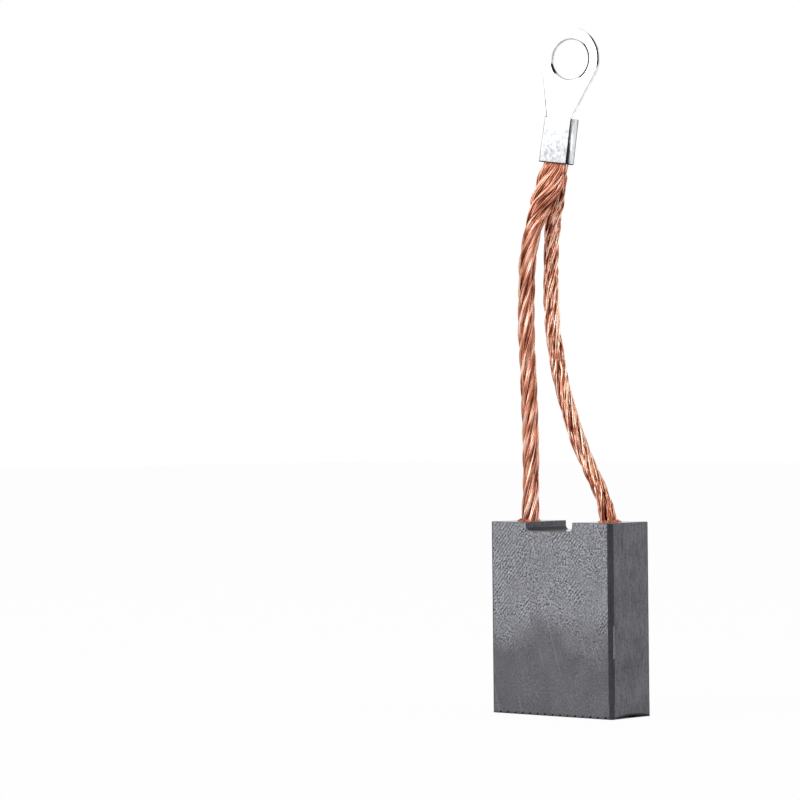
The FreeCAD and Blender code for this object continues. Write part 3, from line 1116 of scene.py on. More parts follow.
@dataclass(frozen=True)
class StrandForm:
    """How strands and their wires lie in a rope, as shares of its radius.

    Attributes:
        centre: distance of a strand's middle from the rope's.
        radial: half a strand's depth, to the middles of its wires.
        tangential: half its width, to the same.
        inmost: least distance from the middle that turns a step aside into an angle.
        holding: squareness of the outline between which the barrel's hold stops the strands' swell.
        twist: how a strand wanders round the rope.
        swell: how it wanders in and out, where nothing holds it.
        phase: how a wire wanders round its strand.
        lift: how a wire wanders in and out.
        shift: how a wire wanders aside.
        core_centre: distance of a strand's core from the rope's middle.
        core_radius: radius of a strand's core, in metres.
        middle_radius: radius of the rope's core, in metres.
        filling: size of the filling where the rope is flattened.
    """

    centre: float = 0.61
    radial: float = 0.29
    tangential: float = 0.215
    inmost: float = 0.35
    holding: Span = (-0.2, 0.6)
    twist: Drift = Drift(14.0 * MM, 0.20)
    swell: Drift = Drift(9.0 * MM, 0.15)
    phase: Drift = Drift(5.0 * MM, 0.55, 0.10)
    lift: Drift = Drift(4.0 * MM, 0.10, 0.01)
    shift: Drift = Drift(3.5 * MM, 0.08)
    core_centre: float = 0.60
    core_radius: float = 0.38 * MM
    middle_radius: float = 0.55 * MM
    filling: float = 0.62


@dataclass(frozen=True)
class StrayForm:
    """How wires have sprung off a rope's surface: each range is for a random draw.

    Attributes:
        start: where one starts, as a share of the lead's length.
        run: how far it runs, as a share of the same.
        limit: share of the length beyond which none runs.
        facing: where on the rope it lies, in degrees from the width's direction.
        lift: how far it stands off, as a share of the rope's radius.
        lay: distance in which it goes round the rope, in lays of the strands.
        thickness: its radius, as a share of a laid wire's.
        foot: distance of its ends from the rope's middle, as a share of the rope's radius.
        steepness: power of the sine by which it rises between its ends.
    """

    start: Span = (0.13, 0.60)
    run: Span = (0.08, 0.20)
    limit: float = 0.66
    facing: Span = (-15.0, 40.0)
    lift: Span = (0.03, 0.20)
    lay: Span = (1.1, 2.4)
    thickness: Span = (0.55, 0.8)
    foot: float = 0.90
    steepness: float = 0.7


@dataclass
class Lead:
    """A copper rope of laid strands, each a ring of wires, flattened where the barrel holds it.

    Attributes:
        name: name of the piece.
        node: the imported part's node that it stands for.
        route: points of its line, in metres, each with its height over the head.
        side: its place in the barrel.
        finish: finish of its wires.
        looseness: how far strands and wires wander, as a share of their places.
        stray_wires: number of wires that stand off the rope.
        seed: seed of its random draws.
        diameter: its diameter.
        fullness: its outline's size as a share of the diameter, and what its splayed foot adds.
        foot: height over the head in which the splayed foot ends.
        strands: number of strands.
        wires: number of wires round a strand.
        wire_radius: radius of a wire.
        wire_spread: range of the wires' radii, as a share.
        uneven_ends: choices of how many points a wire ends short of the lead's end.
        strand_lay: distance in which a strand goes once round the rope.
        wire_lay: distance in which a wire goes once round its strand, negative the other way round.
        samples: number of points along the lead.
        tightening: heights over the barrel's mouth between which its outline loses its fullness.
        seating: heights between which it comes to lie as the barrel holds it.
        squaring: heights between which its outline turns nearly square.
        strand_form: how its strands lie.
        stray_form: how its stray wires lie.
    """

    name: str
    node: str
    route: Route
    side: Side
    finish: CopperFinish
    looseness: float
    stray_wires: int
    seed: int
    diameter: float = 3.3 * MM
    fullness: Span = (1.085, 0.10)
    foot: float = 6.0 * MM
    strands: int = 6
    wires: int = 10
    wire_radius: float = 0.145 * MM
    wire_spread: Span = (0.9, 1.12)
    uneven_ends: tuple[int, ...] = (0, 0, 1, 2)
    strand_lay: float = 30.0 * MM
    wire_lay: float = -60.0 * MM
    samples: int = 150
    tightening: Span = (-4.0 * MM, 0.0)
    seating: Span = (-9.0 * MM, -2.5 * MM)
    squaring: Span = (-8.0 * MM, 0.0)
    strand_form: StrandForm = StrandForm()
    stray_form: StrayForm = StrayForm()

    def line(self, head: float) -> list[Vector]:
        """Read the smooth line that the route's points control.

        Args:
            head: height of the block's head.

        Returns:
            The line's points, evenly spaced.
        """
        data = bpy.data.curves.new("route", "CURVE")
        data.dimensions = "3D"
        spline = data.splines.new("NURBS")
        spline.points.add(len(self.route) - 1)
        for point, place in zip(spline.points, self.route):
            point.co = (*(Vector(place) + UP * head), 1.0)
        spline.order_u = 3
        spline.use_endpoint_u = True
        spline.resolution_u = 40
        curve = bpy.data.objects.new("route", data)
        mesh = bpy.data.meshes.new_from_object(curve)
        points = [vertex.co.copy() for vertex in mesh.vertices]
        bpy.data.objects.remove(curve)
        bpy.data.meshes.remove(mesh)
        return self.evenly_spaced(points)

    def evenly_spaced(self, points: list[Vector]) -> list[Vector]:
        """Space points evenly along a line.

        Args:
            points: the line's points.

        Returns:
            As many points as the lead has samples.
        """
        reached = [0.0]
        for before, after in zip(points, points[1:]):
            reached.append(reached[-1] + (after - before).length)
        even, index = [], 0
        for number in range(self.samples):
            goal = reached[-1] * number / (self.samples - 1)
            while index < len(points) - 2 and reached[index + 1] < goal:
                index += 1
            share = (goal - reached[index]) / (reached[index + 1] - reached[index])
            even.append(points[index].lerp(points[index + 1], share))
        return even

    def sections(self, line: list[Vector], head: float, terminal: Matrix) -> list[Section]:
        """Work out the lead's sections, round below and flattened into the barrel.

        Args:
            line: the lead's evenly spaced points.
            head: height of the block's head.
            terminal: matrix of the terminal's frame.

        Returns:
            A section for each point.
        """
        width_way, back_way = terminal.col[0].xyz, terminal.col[1].xyz
        inverse = terminal.inverted()
        stages = self.stages()
        last = len(line) - 1
        across = width_way.copy()
        found = []
        for number in range(last, -1, -1):
            place = line[number]
            tangent = (line[min(last, number + 1)] - line[max(0, number - 1)]).normalized()
            across = (across - tangent * across.dot(tangent)).normalized()
            behind = tangent.cross(across).normalized()
            height = (inverse @ place).z
            stage = self.stage_at(stages, height)
            full = self.full(place.z - head, height)
            share = smooth_step(*self.seating, height)
            seat = terminal @ Vector((stage.aside, stage.behind, height))
            found.append(Section(place.lerp(seat, share), across.lerp(width_way, share).normalized(),
                                 behind.lerp(back_way, share).normalized(), stage.half_width * full,
                                 stage.half_depth * full, smooth_step(*self.squaring, height)))
        return found[::-1]

    def full(self, over_head: float, over_mouth: float) -> float:
        """Work out the outline's size, as a share of the sizes that the stages give.

        Args:
            over_head: height over the block's head.
            over_mouth: height over the barrel's mouth.

        Returns:
            The share.
        """
        size, foot = self.fullness
        splay = 1.0 - smooth_step(0.0, self.foot, over_head)
        return 1.0 + (size + foot * splay - 1.0) * (1.0 - smooth_step(*self.tightening, over_mouth))

    def stages(self) -> tuple[Stage, ...]:
        """List the stages of its flattening, from below the barrel's mouth to the barrel's top.

        Returns:
            The stages.
        """
        radius, side, spread = self.diameter / 2, self.side.value, SPREADS[self.side]
        mouth_middle, neck_middle = 1.3 * MM, 1.55 * MM
        return (Stage(spread.start, radius, radius, mouth_middle + side * radius, spread.aside),
                Stage(-3.5 * MM, spread.broad, 0.72 * MM, mouth_middle + side * 0.72 * MM, spread.aside),
                Stage(0.0, spread.mouth, 0.28 * MM, mouth_middle + side * 0.29 * MM, spread.aside / 2),
                Stage(9.2 * MM, 2.6 * MM, 0.40 * MM, neck_middle + side * 0.41 * MM, 0.0))

    def stage_at(self, stages: tuple[Stage, ...], height: float) -> Stage:
        """Work out the section's size and place at a height over the barrel's mouth.

        Args:
            stages: the stages of its flattening.
            height: height over the mouth, negative below it.

        Returns:
            The stage at that height.
        """
        found = stages[0]
        for lower, upper in zip(stages, stages[1:]):
            if height > lower.height:
                found = lower.eased(upper, height)
        return found

    def drift(self, kind: Drift, key: float, along: float) -> float:
        """Give a slow random change along the lead.

        Args:
            kind: its reach and size.
            key: a number of its own for each thing that changes.
            along: distance along the lead.

        Returns:
            The change.
        """
        keys_apart, seeds_apart, gain = 7.31, 3.17, 1.6
        place = Vector((along / kind.reach, key * keys_apart, self.seed * seeds_apart))
        return (kind.size + kind.slack * self.looseness) * noise.noise(place) * gain

    def strand_wire(self, strand: int, wire: int, sections: list[Section], spacing: float) -> list[Vector]:
        """Work out one wire of a strand.

        Args:
            strand: the strand's number.
            wire: the wire's number in its strand.
            sections: the lead's sections.
            spacing: distance between sections.

        Returns:
            The wire's points.
        """
        form = self.strand_form
        points = []
        for number, section in enumerate(sections):
            along = number * spacing
            turn = math.tau * (strand / self.strands + along / self.strand_lay)
            turn += self.drift(form.twist, strand, along)
            free = 1.0 - smooth_step(*form.holding, section.squareness)
            centre = form.centre * (1.0 + self.drift(form.swell, strand + 20, along) * free)
            phase = math.tau * (wire / self.wires + along / self.wire_lay)
            phase += self.drift(form.phase, strand + wire * 0.37 + 40, along)
            lift = self.drift(form.lift, strand * 31 + wire + 60, along)
            shift = self.drift(form.shift, strand * 17 + wire + 90, along)
            radius = centre + form.radial * math.cos(phase) + lift
            aside = form.tangential * math.sin(phase) + shift
            points.append(section.point(radius, turn + aside / max(form.inmost, radius)))
        return points

    def stray_wire(self, draws: random.Random, sections: list[Section],
                   spacing: float) -> tuple[int, list[Vector]]:
        """Work out a wire that has sprung off the rope's surface for part of its length.

        Args:
            draws: source of the random draws.
            sections: the lead's sections.
            spacing: distance between sections.

        Returns:
            The number of its first section, and its points.
        """
        form = self.stray_form
        last = len(sections) - 1
        start = draws.uniform(*form.start) * last
        end = min(start + draws.uniform(*form.run) * last, form.limit * last)
        facing = math.radians(draws.uniform(*form.facing))
        lift = draws.uniform(*form.lift)
        lay = self.strand_lay * draws.uniform(*form.lay)
        points = []
        for number in range(int(start), int(end) + 1):
            share = min(1.0, max(0.0, (number - start) / (end - start)))
            along = (number - (start + end) / 2) * spacing
            radius = form.foot + lift * math.sin(math.pi * share) ** form.steepness
            points.append(sections[number].point(radius, facing + math.tau * along / lay))
        return int(start), points

    def add_strands(self, wires: WireMesh, draws: random.Random, sections: list[Section],
                    spacing: float) -> None:
        """Lay the strands, whose wires end unevenly in the barrel.

        Args:
            wires: the rope's mesh.
            draws: source of the random draws.
            sections: the lead's sections.
            spacing: distance between sections.
        """
        for strand in range(self.strands):
            for wire in range(self.wires):
                kept = self.samples - draws.choice(self.uneven_ends)
                points = self.strand_wire(strand, wire, sections, spacing)[:kept]
                radius = self.wire_radius * draws.uniform(*self.wire_spread)
                wires.add(points, [radius] * kept, 0.0, WireKind.LAID)

    def add_core(self, wires: WireMesh, sections: list[Section], spacing: float) -> None:
        """Fill the strands and the middle of the rope with dark wire, whose darkness is painted shade of
        the rope's inside.

        Args:
            wires: the rope's mesh.
            sections: the lead's sections.
            spacing: distance between sections.
        """
        form = self.strand_form
        radius = self.diameter / 2
        thickness = [min(1.0, section.half_depth / radius) for section in sections]
        for strand in range(self.strands):
            points = []
            for number, section in enumerate(sections):
                turn = math.tau * (strand / self.strands + number * spacing / self.strand_lay)
                points.append(section.point(form.core_centre, turn))
            wires.add(points, [form.core_radius * share for share in thickness], 0.0, WireKind.CORE)
        middle = [section.centre for section in sections]
        wires.add(middle, [form.middle_radius * share for share in thickness], 0.0, WireKind.CORE)
        wires.add_filling([section for section in sections if section.squareness > 0.0], form.filling)

    def add_stray_wires(self, wires: WireMesh, draws: random.Random, sections: list[Section],
                        spacing: float) -> None:
        """Add the wires that stand off the rope.

        Args:
            wires: the rope's mesh.
            draws: source of the random draws.
            sections: the lead's sections.
            spacing: distance between sections.
        """
        for _ in range(self.stray_wires):
            first, points = self.stray_wire(draws, sections, spacing)
            radius = self.wire_radius * draws.uniform(*self.stray_form.thickness)
            wires.add(points, [radius] * len(points), first * spacing, WireKind.STRAY)

    def build(self, head: float, terminal: Matrix, far_end: Object) -> Object:
        """Args:
            head: height of the block's head.
            terminal: matrix of the terminal's frame.
            far_end: the ring terminal that it ends in; not used.

        Returns:
            The rope.
        """
        line = self.line(head)
        spacing = (line[1] - line[0]).length
        sections = self.sections(line, head, terminal)
        draws = random.Random(self.seed)
        wires = WireMesh((self.finish, SHADED_CORE_COPPER, STRAY_COPPER), spacing)
        self.add_strands(wires, draws, sections, spacing)
        self.add_core(wires, sections, spacing)
        self.add_stray_wires(wires, draws, sections, spacing)
        rope = make_piece(self.name, wires.closed(), self.node, wires.materials)
        return rope


LEFT_ROUTE: Route = (
    (-0.0107, 0.0000, -0.0100),
    (-0.0102, 0.0000, 0.0015),
    (-0.0095, -0.0005, 0.0140),
    (-0.0091, -0.0014, 0.0280),
    (-0.0088, -0.0026, 0.0420),
    (-0.0058, -0.0051, 0.0571),
    (-0.0010, -0.0032, 0.0695),
    (0.0005, -0.0019, 0.0816),
)
RIGHT_ROUTE: Route = (
    (0.0107, 0.0000, -0.0100),
    (0.0119, 0.0000, 0.0001),
    (0.0035, -0.0001, 0.0140),
    (-0.0012, -0.0003, 0.0263),
    (-0.0038, -0.0006, 0.0400),
    (-0.0037, -0.0004, 0.0567),
    (-0.0015, -0.0008, 0.0695),
    (0.0003, -0.0011, 0.0816),
)


@dataclass
class CarbonBlock:
    """The pressed carbon block, with softened, slightly chipped edges and a finish for each kind of face.

    Attributes:
        name: name of the piece.
        node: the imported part's node that it stands for.
        edge_radius: width of the rounding on its edges.
        cut_margin: distance from the wear face and from the head to the nearest point on a long edge.
        cut_spacing: distance between the points along its long edges.
        unevenness: how far those points stand back from a straight edge.
        chip_height: height of the middle of the chipped stretch on the near right edge.
        chip_depth: depth of the chip.
        chip_reach: distances from its middle where the chip is full and where it ends.
        slot_reach: depth under the head that holds the finger slot and its edges.
        worn_height: height that the faces of the serrated wear face stay under.
        seed: seed of its random draws.
    """

    name: str = "block"
    node: str = "carbon_block"
    edge_radius: float = 0.15 * MM
    cut_margin: float = 3.0 * MM
    cut_spacing: float = 1.3 * MM
    unevenness: float = 0.05 * MM
    chip_height: float = 15.0 * MM
    chip_depth: float = 0.16 * MM
    chip_reach: Span = (1.2 * MM, 3.0 * MM)
    slot_reach: float = 2.5 * MM
    worn_height: float = 1.6 * MM
    seed: int = 5

    def build(self, node: Object) -> Object:
        """Make the block.

        Args:
            node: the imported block.

        Returns:
            The block.
        """
        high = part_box(self.node)[1]
        shape = merged_copy(node)
        self.divide(shape, high)
        rounded = self.round_edges(shape, high)
        self.roughen(shape, rounded, high)
        shape.normal_update()
        for face in shape.faces:
            face.material_index = self.edge_finish(face) if face in rounded else self.finish_of(face, high)
        materials = [built(BLOCK_FINISHES[kind]) for kind in BlockFace]
        return make_piece(self.name, shape, self.node, materials)

    def divide(self, shape: Shape, high: Vector) -> None:
        """Cut the block's faces at even heights, so that its long edges have points to move.

        Args:
            shape: the block.
            high: the block's highest corner.
        """
        height = self.cut_margin
        while height < high.z - self.cut_margin:
            geometry = shape.verts[:] + shape.edges[:] + shape.faces[:]
            bmesh.ops.bisect_plane(shape, geom=geometry, dist=0.001 * MM, plane_co=(0.0, 0.0, height),
                                   plane_no=UP)
            height += self.cut_spacing

    def round_edges(self, shape: Shape, high: Vector) -> set[Face]:
        """Round the upright edges, the head's outline and the finger slot's edges.

        Args:
            shape: the block.
            high: the block's highest corner.

        Returns:
            The faces of the rounding.
        """
        sharp = [edge for edge in shape.edges if self.is_sharp(edge, high)]
        made = bmesh.ops.bevel(shape, geom=sharp, offset=self.edge_radius, segments=2, profile=0.5,
                               affect="EDGES", clamp_overlap=True, material=-1)
        return set(made["faces"])

    def is_sharp(self, edge: Edge, high: Vector) -> bool:
        """Tell whether an edge is one to round.

        Args:
            edge: the edge.
            high: the block's highest corner.

        Returns:
            True for the upright edges, the head's outline and the finger slot's edges.
        """
        margin = 1.0 * MM
        if edge.calc_face_angle(0.0) < math.radians(25.0):
            return False
        if ends_pass(edge, lambda end: abs(end.y) < high.y - margin and abs(end.x) < high.x - margin):
            return False
        first, second = (vert.co for vert in edge.verts)
        upright = abs((second - first).normalized().z) > 0.999
        lowest = min(first.z, second.z)
        return upright and lowest > self.cut_margin - 0.1 * MM or lowest > high.z - self.slot_reach

    def roughen(self, shape: Shape, rounded: set[Face], high: Vector) -> None:
        """Move the points beside the rounding a little within their flat faces, and chip one stretch.

        Args:
            shape: the block.
            rounded: the faces of the rounding.
            high: the block's highest corner.
        """
        draws = random.Random(self.seed)
        for vert in shape.verts:
            beside = [face for face in vert.link_faces if face in rounded]
            flat = [face for face in vert.link_faces if face not in rounded and abs(face.normal.z) < 0.1]
            movable = self.cut_margin + 0.5 * MM < vert.co.z < high.z - self.slot_reach
            if not beside or not flat or not movable:
                continue
            face = max(flat, key=lambda one: one.calc_area())
            inward = face.calc_center_median() - vert.co
            inward.z = 0.0
            step = draws.uniform(0.0, self.unevenness)
            if face.normal.x > 0.9 and vert.co.y < 0.0:
                full, end = self.chip_reach
                step += self.chip_depth * smooth_step(end, full, abs(vert.co.z - self.chip_height))
            vert.co += inward.normalized() * step

    def edge_finish(self, face: Face) -> BlockFace:
        """Choose a rounding's finish: light on top as a painted highlight, light where the edge is chipped,
        dark elsewhere.

        Args:
            face: a face of the rounding.

        Returns:
            The kind of face whose finish it gets.
        """
        middle = face.calc_center_median()
        if face.normal.x > 0.8 and middle.y < 0.0 and abs(middle.z - self.chip_height) < self.chip_reach[1]:
            return BlockFace.HEAD
        # Upward-facing roundings take the lighter side finish: a painted highlight.
        return BlockFace.SIDE if abs(face.normal.z) > 0.25 else BlockFace.EDGE

    def finish_of(self, face: Face, high: Vector) -> BlockFace:
        """Choose a face's finish by the way that it faces.

        Args:
            face: the face.
            high: the block's highest corner.

        Returns:
            Its kind.
        """
        normal, middle = face.normal, face.calc_center_median()
        in_groove = abs(normal.x) > 0.9 and abs(middle.x) < high.x - 0.1 * MM
        # The wear face and the groove walls by it get the near-black finish: painted shade.
        if middle.z < self.worn_height and (abs(normal.z) > 0.1 or in_groove):
            return BlockFace.WORN
        if abs(normal.y) > 0.95:
            return BlockFace.BROAD
        if abs(normal.x) > 0.95:
            return BlockFace.SIDE
        return BlockFace.HEAD if normal.z > 0.97 else BlockFace.EDGE


@dataclass
class RingTerminal:
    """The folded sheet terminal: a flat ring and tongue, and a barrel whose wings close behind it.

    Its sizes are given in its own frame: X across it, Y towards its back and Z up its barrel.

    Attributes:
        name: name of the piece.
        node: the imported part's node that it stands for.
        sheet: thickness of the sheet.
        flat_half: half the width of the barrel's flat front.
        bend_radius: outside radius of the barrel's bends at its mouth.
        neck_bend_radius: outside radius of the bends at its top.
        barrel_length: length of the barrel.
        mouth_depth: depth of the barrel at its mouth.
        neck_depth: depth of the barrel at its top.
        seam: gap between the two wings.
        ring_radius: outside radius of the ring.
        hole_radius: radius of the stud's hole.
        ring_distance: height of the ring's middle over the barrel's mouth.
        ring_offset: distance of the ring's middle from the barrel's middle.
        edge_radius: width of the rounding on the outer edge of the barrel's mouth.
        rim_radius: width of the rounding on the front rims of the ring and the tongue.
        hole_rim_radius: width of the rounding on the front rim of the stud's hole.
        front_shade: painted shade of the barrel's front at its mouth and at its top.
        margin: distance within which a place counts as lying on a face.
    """

    name: str = "terminal"
    node: str = "ring_terminal"
    sheet: float = 0.7 * MM
    flat_half: float = 2.8 * MM
    bend_radius: float = 0.9 * MM
    neck_bend_radius: float = 0.6 * MM
    barrel_length: float = 9.2 * MM
    mouth_depth: float = 2.6 * MM
    neck_depth: float = 3.1 * MM
    seam: float = 0.2 * MM
    ring_radius: float = 6.5 * MM
    hole_radius: float = 4.0 * MM
    ring_distance: float = 21.1 * MM
    ring_offset: float = 1.15 * MM
    edge_radius: float = 0.20 * MM
    rim_radius: float = 0.30 * MM
    hole_rim_radius: float = 0.50 * MM
    front_shade: Span = (0.56, 0.40)
    margin: float = 0.01 * MM

    def build(self, frame: Matrix) -> Object:
        """Make the terminal.

        Args:
            frame: matrix of the terminal's frame.

        Returns:
            The terminal.
        """
        shape = bmesh.new()
        neck = self.add_ring_and_tongue(shape)
        self.add_barrel(shape, neck)
        self.taper(shape)
        self.thicken(shape)
        self.round_edges(shape)
        self.mark_painted_shade(shape)
        shape.transform(frame)
        return make_piece(self.name, shape, self.node, [built(TINNED), built(SHEARED)])

    def add_ring_and_tongue(self, shape: Shape) -> Edge:
        """Lay out the front of the ring and of the tongue, which meets the ring along its tangents.

        Args:
            shape: the terminal.

        Returns:
            The edge across the tongue's foot, where the barrel starts.
        """
        middle = Matrix.Translation((self.ring_offset, 0.0, self.ring_distance))
        place = middle @ Matrix.Rotation(math.pi / 2, 4, "X")
        outer, _ = (bmesh.ops.create_circle(shape, cap_ends=False, segments=96, radius=radius,
                                            matrix=place)["verts"]
                    for radius in (self.ring_radius, self.hole_radius))
        rims = shape.edges[:]
        bmesh.ops.bridge_loops(shape, edges=rims)
        feet = [shape.verts.new((side * self.flat_half, 0.0, self.barrel_length)) for side in (-1, 1)]
        tangents = [max(outer, key=lambda vert: side * self.bearing(foot, vert))
                    for foot, side in zip(feet, (-1, 1))]
        neck = shape.edges.new(feet)
        outline = [neck] + [shape.edges.new(pair) for pair in zip(feet, tangents)]
        on_outer = set(outer)
        outline += [edge for edge in rims
                    if on_outer.issuperset(edge.verts) and self.under(edge, tangents[0].co, tangents[1].co)]
        bmesh.ops.edgeloop_fill(shape, edges=outline)
        return neck

    def bearing(self, foot: Vert, vert: Vert) -> float:
        """Return a vertex's direction from a foot, from straight up towards +X, in radians."""
        return math.atan2(vert.co.x - foot.co.x, vert.co.z - foot.co.z)

    def under(self, edge: Edge, left: Vector, right: Vector) -> bool:
        """Tell whether an edge of the ring lies on the tongue's side of the line from left to right.

        Args:
            edge: the edge.
            left: left end of the line.
            right: right end of the line.

        Returns:
            True if both its ends lie there.
        """
        slope = (right.z - left.z) / (right.x - left.x)
        return ends_pass(edge, lambda end: end.z < left.z + slope * (end.x - left.x) + 0.001 * MM)

    def add_barrel(self, shape: Shape, neck: Edge) -> None:
        """Extend the front down from the tongue and fold a wing behind it on each side.

        Args:
            shape: the terminal.
            neck: the edge across the tongue's foot.
        """
        front = bmesh.ops.extrude_edge_only(shape, edges=[neck])["geom"]
        lowered = [item for item in front if isinstance(item, Vert)]
        bmesh.ops.translate(shape, verts=lowered, vec=(0.0, 0.0, -self.barrel_length))
        flat_depth = self.mouth_depth - 2 * self.bend_radius
        for side in (-1, 1):
            corner = next(vert for vert in lowered if vert.co.x * side > 0)
            edge = next(edge for edge in corner.link_edges
                        if abs(edge.other_vert(corner).co.x - corner.co.x) < 0.001 * MM)
            edge = self.bent(shape, edge, side, self.bend_radius)
            edge = self.extended(shape, edge, Vector((0.0, flat_depth, 0.0)))
            edge = self.bent(shape, edge, side, self.bend_radius + flat_depth)
            self.extended(shape, edge, Vector((side * (self.seam / 2 - self.flat_half), 0.0, 0.0)))

    def bent(self, shape: Shape, edge: Edge, side: int, depth: float) -> Edge:
        """Bend the sheet a quarter turn from an edge.

        Args:
            shape: the terminal.
            edge: the upright edge to start from.
            side: 1 for the wing at +X, -1 for the one at -X.
            depth: distance of the bend's centre behind the front.

        Returns:
            The new outer edge.
        """
        centre = (side * self.flat_half, depth, 0.0)
        made = bmesh.ops.spin(shape, geom=[edge, *edge.verts], cent=centre, axis=(0.0, 0.0, side),
                              angle=math.pi / 2, steps=8, use_merge=False, use_duplicate=False)
        return next(item for item in made["geom_last"] if isinstance(item, Edge))

    def extended(self, shape: Shape, edge: Edge, way: Vector) -> Edge:
        """Extend the sheet flat from an edge.

        Args:
            shape: the terminal.
            edge: the upright edge to start from.
            way: how far and which way it goes.

        Returns:
            The new outer edge.
        """
        made = bmesh.ops.extrude_edge_only(shape, edges=[edge])["geom"]
        ends = [item for item in made if isinstance(item, Vert)]
        bmesh.ops.translate(shape, verts=ends, vec=way)
        return next(edge for edge in ends[0].link_edges if edge.other_vert(ends[0]) in ends)

    def taper(self, shape: Shape) -> None:
        """Narrow the barrel's bends towards its top and deepen it there.

        Args:
            shape: the terminal.
        """
        for vert in shape.verts:
            if vert.co.z > self.barrel_length + 0.001 * MM:
                continue
            share = vert.co.z / self.barrel_length
            beyond = abs(vert.co.x) - self.flat_half
            if beyond > 0.0:
                radius = self.bend_radius + (self.neck_bend_radius - self.bend_radius) * share
                vert.co.x = math.copysign(self.flat_half + beyond * radius / self.bend_radius, vert.co.x)
            vert.co.y *= 1.0 + (self.neck_depth / self.mouth_depth - 1.0) * share

    def thicken(self, shape: Shape) -> None:
        """Give the sheet its thickness, inwards from its outside, and its cut faces their finish.

        Args:
            shape: the terminal.
        """
        bmesh.ops.recalc_face_normals(shape, faces=shape.faces)
        front = max(shape.faces, key=lambda face: face.calc_area() if abs(face.normal.y) > 0.99 else 0.0)
        if front.normal.y > 0.0:
            bmesh.ops.reverse_faces(shape, faces=shape.faces)
        bmesh.ops.solidify(shape, geom=shape.faces[:], thickness=self.sheet)
        bmesh.ops.recalc_face_normals(shape, faces=shape.faces)
        for face in shape.faces:
            middle = face.calc_center_median()
            on_plate = middle.z > self.barrel_length
            at_seam = abs(middle.x) < self.seam and abs(face.normal.x) > 0.9
            cut = abs(face.normal.y) < 0.5 if on_plate else abs(face.normal.z) > 0.7 or at_seam
            face.material_index = SheetFace.CUT if cut else SheetFace.FLAT

    def round_edges(self, shape: Shape) -> None:
        """Round the front rims of the ring and the tongue, and the outer edge of the barrel's mouth.

        Args:
            shape: the terminal.
        """
        flat = [edge for edge in shape.edges if edge.calc_face_angle(1.0) < 0.01
                and min(vert.co.z for vert in edge.verts) > self.barrel_length + 0.1 * MM]
        bmesh.ops.dissolve_limit(shape, angle_limit=0.01, verts=[], edges=flat)
        sharp = [edge for edge in shape.edges if edge.calc_face_angle(0.0) > math.radians(60.0)]
        rims = [edge for edge in sharp if ends_pass(edge, self.on_plate_front)]
        around_hole = {edge for edge in rims if ends_pass(edge, self.at_hole)}
        mouth = [edge for edge in sharp if ends_pass(edge, lambda end: end.z < 0.1 * MM)
                 and any(self.is_outside(face) for face in edge.link_faces)]
        self.rounded(shape, mouth, self.edge_radius)
        self.rounded(shape, [edge for edge in rims if edge not in around_hole], self.rim_radius)
        self.rounded(shape, list(around_hole), self.hole_rim_radius)

    def on_plate_front(self, place: Vector) -> bool:
        """Tell whether a place lies on the front of the ring or of the tongue."""
        return place.y < self.margin and place.z > self.barrel_length - self.margin

    def at_hole(self, place: Vector) -> bool:
        """Tell whether a place lies on the rim of the stud's hole."""
        return self.from_ring(place).length < self.hole_radius + self.margin

    def is_outside(self, face: Face) -> bool:
        """Tell whether a face belongs to the barrel's outside."""
        middle = Vector((0.0, self.mouth_depth / 2, 0.0))
        return abs(face.normal.z) < 0.5 and face.normal.dot(face.calc_center_median() - middle) > 0.0

    def from_ring(self, place: Vector) -> Vector:
        """Return a place's distance from the ring's middle, across and above."""
        return Vector((place.x - self.ring_offset, place.z - self.ring_distance))

    def rounded(self, shape: Shape, edges: list[Edge], radius: float) -> None:
        """Round edges and give the rounding the cut edges' finish.

        Args:
            shape: the terminal.
            edges: the edges to round.
            radius: width of the rounding.
        """
        made = bmesh.ops.bevel(shape, geom=edges, offset=radius, segments=3, profile=0.5, affect="EDGES",
                               clamp_overlap=False, material=-1)
        shape.normal_update()
        for face in made["faces"]:
            if abs(face.normal.y) < 0.99:
                face.material_index = SheetFace.CUT
                face.smooth = True

    def mark_painted_shade(self, shape: Shape) -> None:
        """Note the painted shade and dark reflections: along the barrel's bends, on its front and on the
        cut edges.

        Args:
            shape: the terminal.
        """
        # Painted shade and dark reflections along the bends, the cut edges and the barrel's front.
        layer = shape.loops.layers.float.new(SHADE_ATTRIBUTE)
        shape.normal_update()
        for face in shape.faces:
            bent = abs(face.normal.x) > 0.04 and abs(face.normal.y) > 0.04
            on_barrel = face.calc_center_median().z < self.barrel_length
            for loop in face.loops:
                place, normal = loop.vert.co, loop.vert.normal
                if face.material_index == SheetFace.CUT:
                    loop[layer] = self.edge_shade(place, normal)
                elif on_barrel and bent:
                    face.smooth = True
                    loop[layer] = self.bend_shade(place, normal)
                elif on_barrel and face.normal.y < -0.9 and place.y < 0.1 * MM:
                    at_mouth, at_top = self.front_shade
                    loop[layer] = at_mouth + (at_top - at_mouth) * place.z / self.barrel_length

    def bend_shade(self, place: Vector, normal: Vector) -> float:
        """Give the painted shade and dark reflection of the barrel's bends: full at the front right, a line
        behind the right side.

        Args:
            place: the place in the terminal's frame.
            normal: the way that it faces there.

        Returns:
            The darkness, from 0 to 1.
        """
        if place.x < 0.0:
            return 0.3 * abs(normal.y)
        if normal.y < 0.0:
            return smooth_step(0.15, 1.0, -normal.y)
        return 0.9 * smooth_step(0.0, 0.2, normal.y) * smooth_step(0.8, 0.5, normal.y)

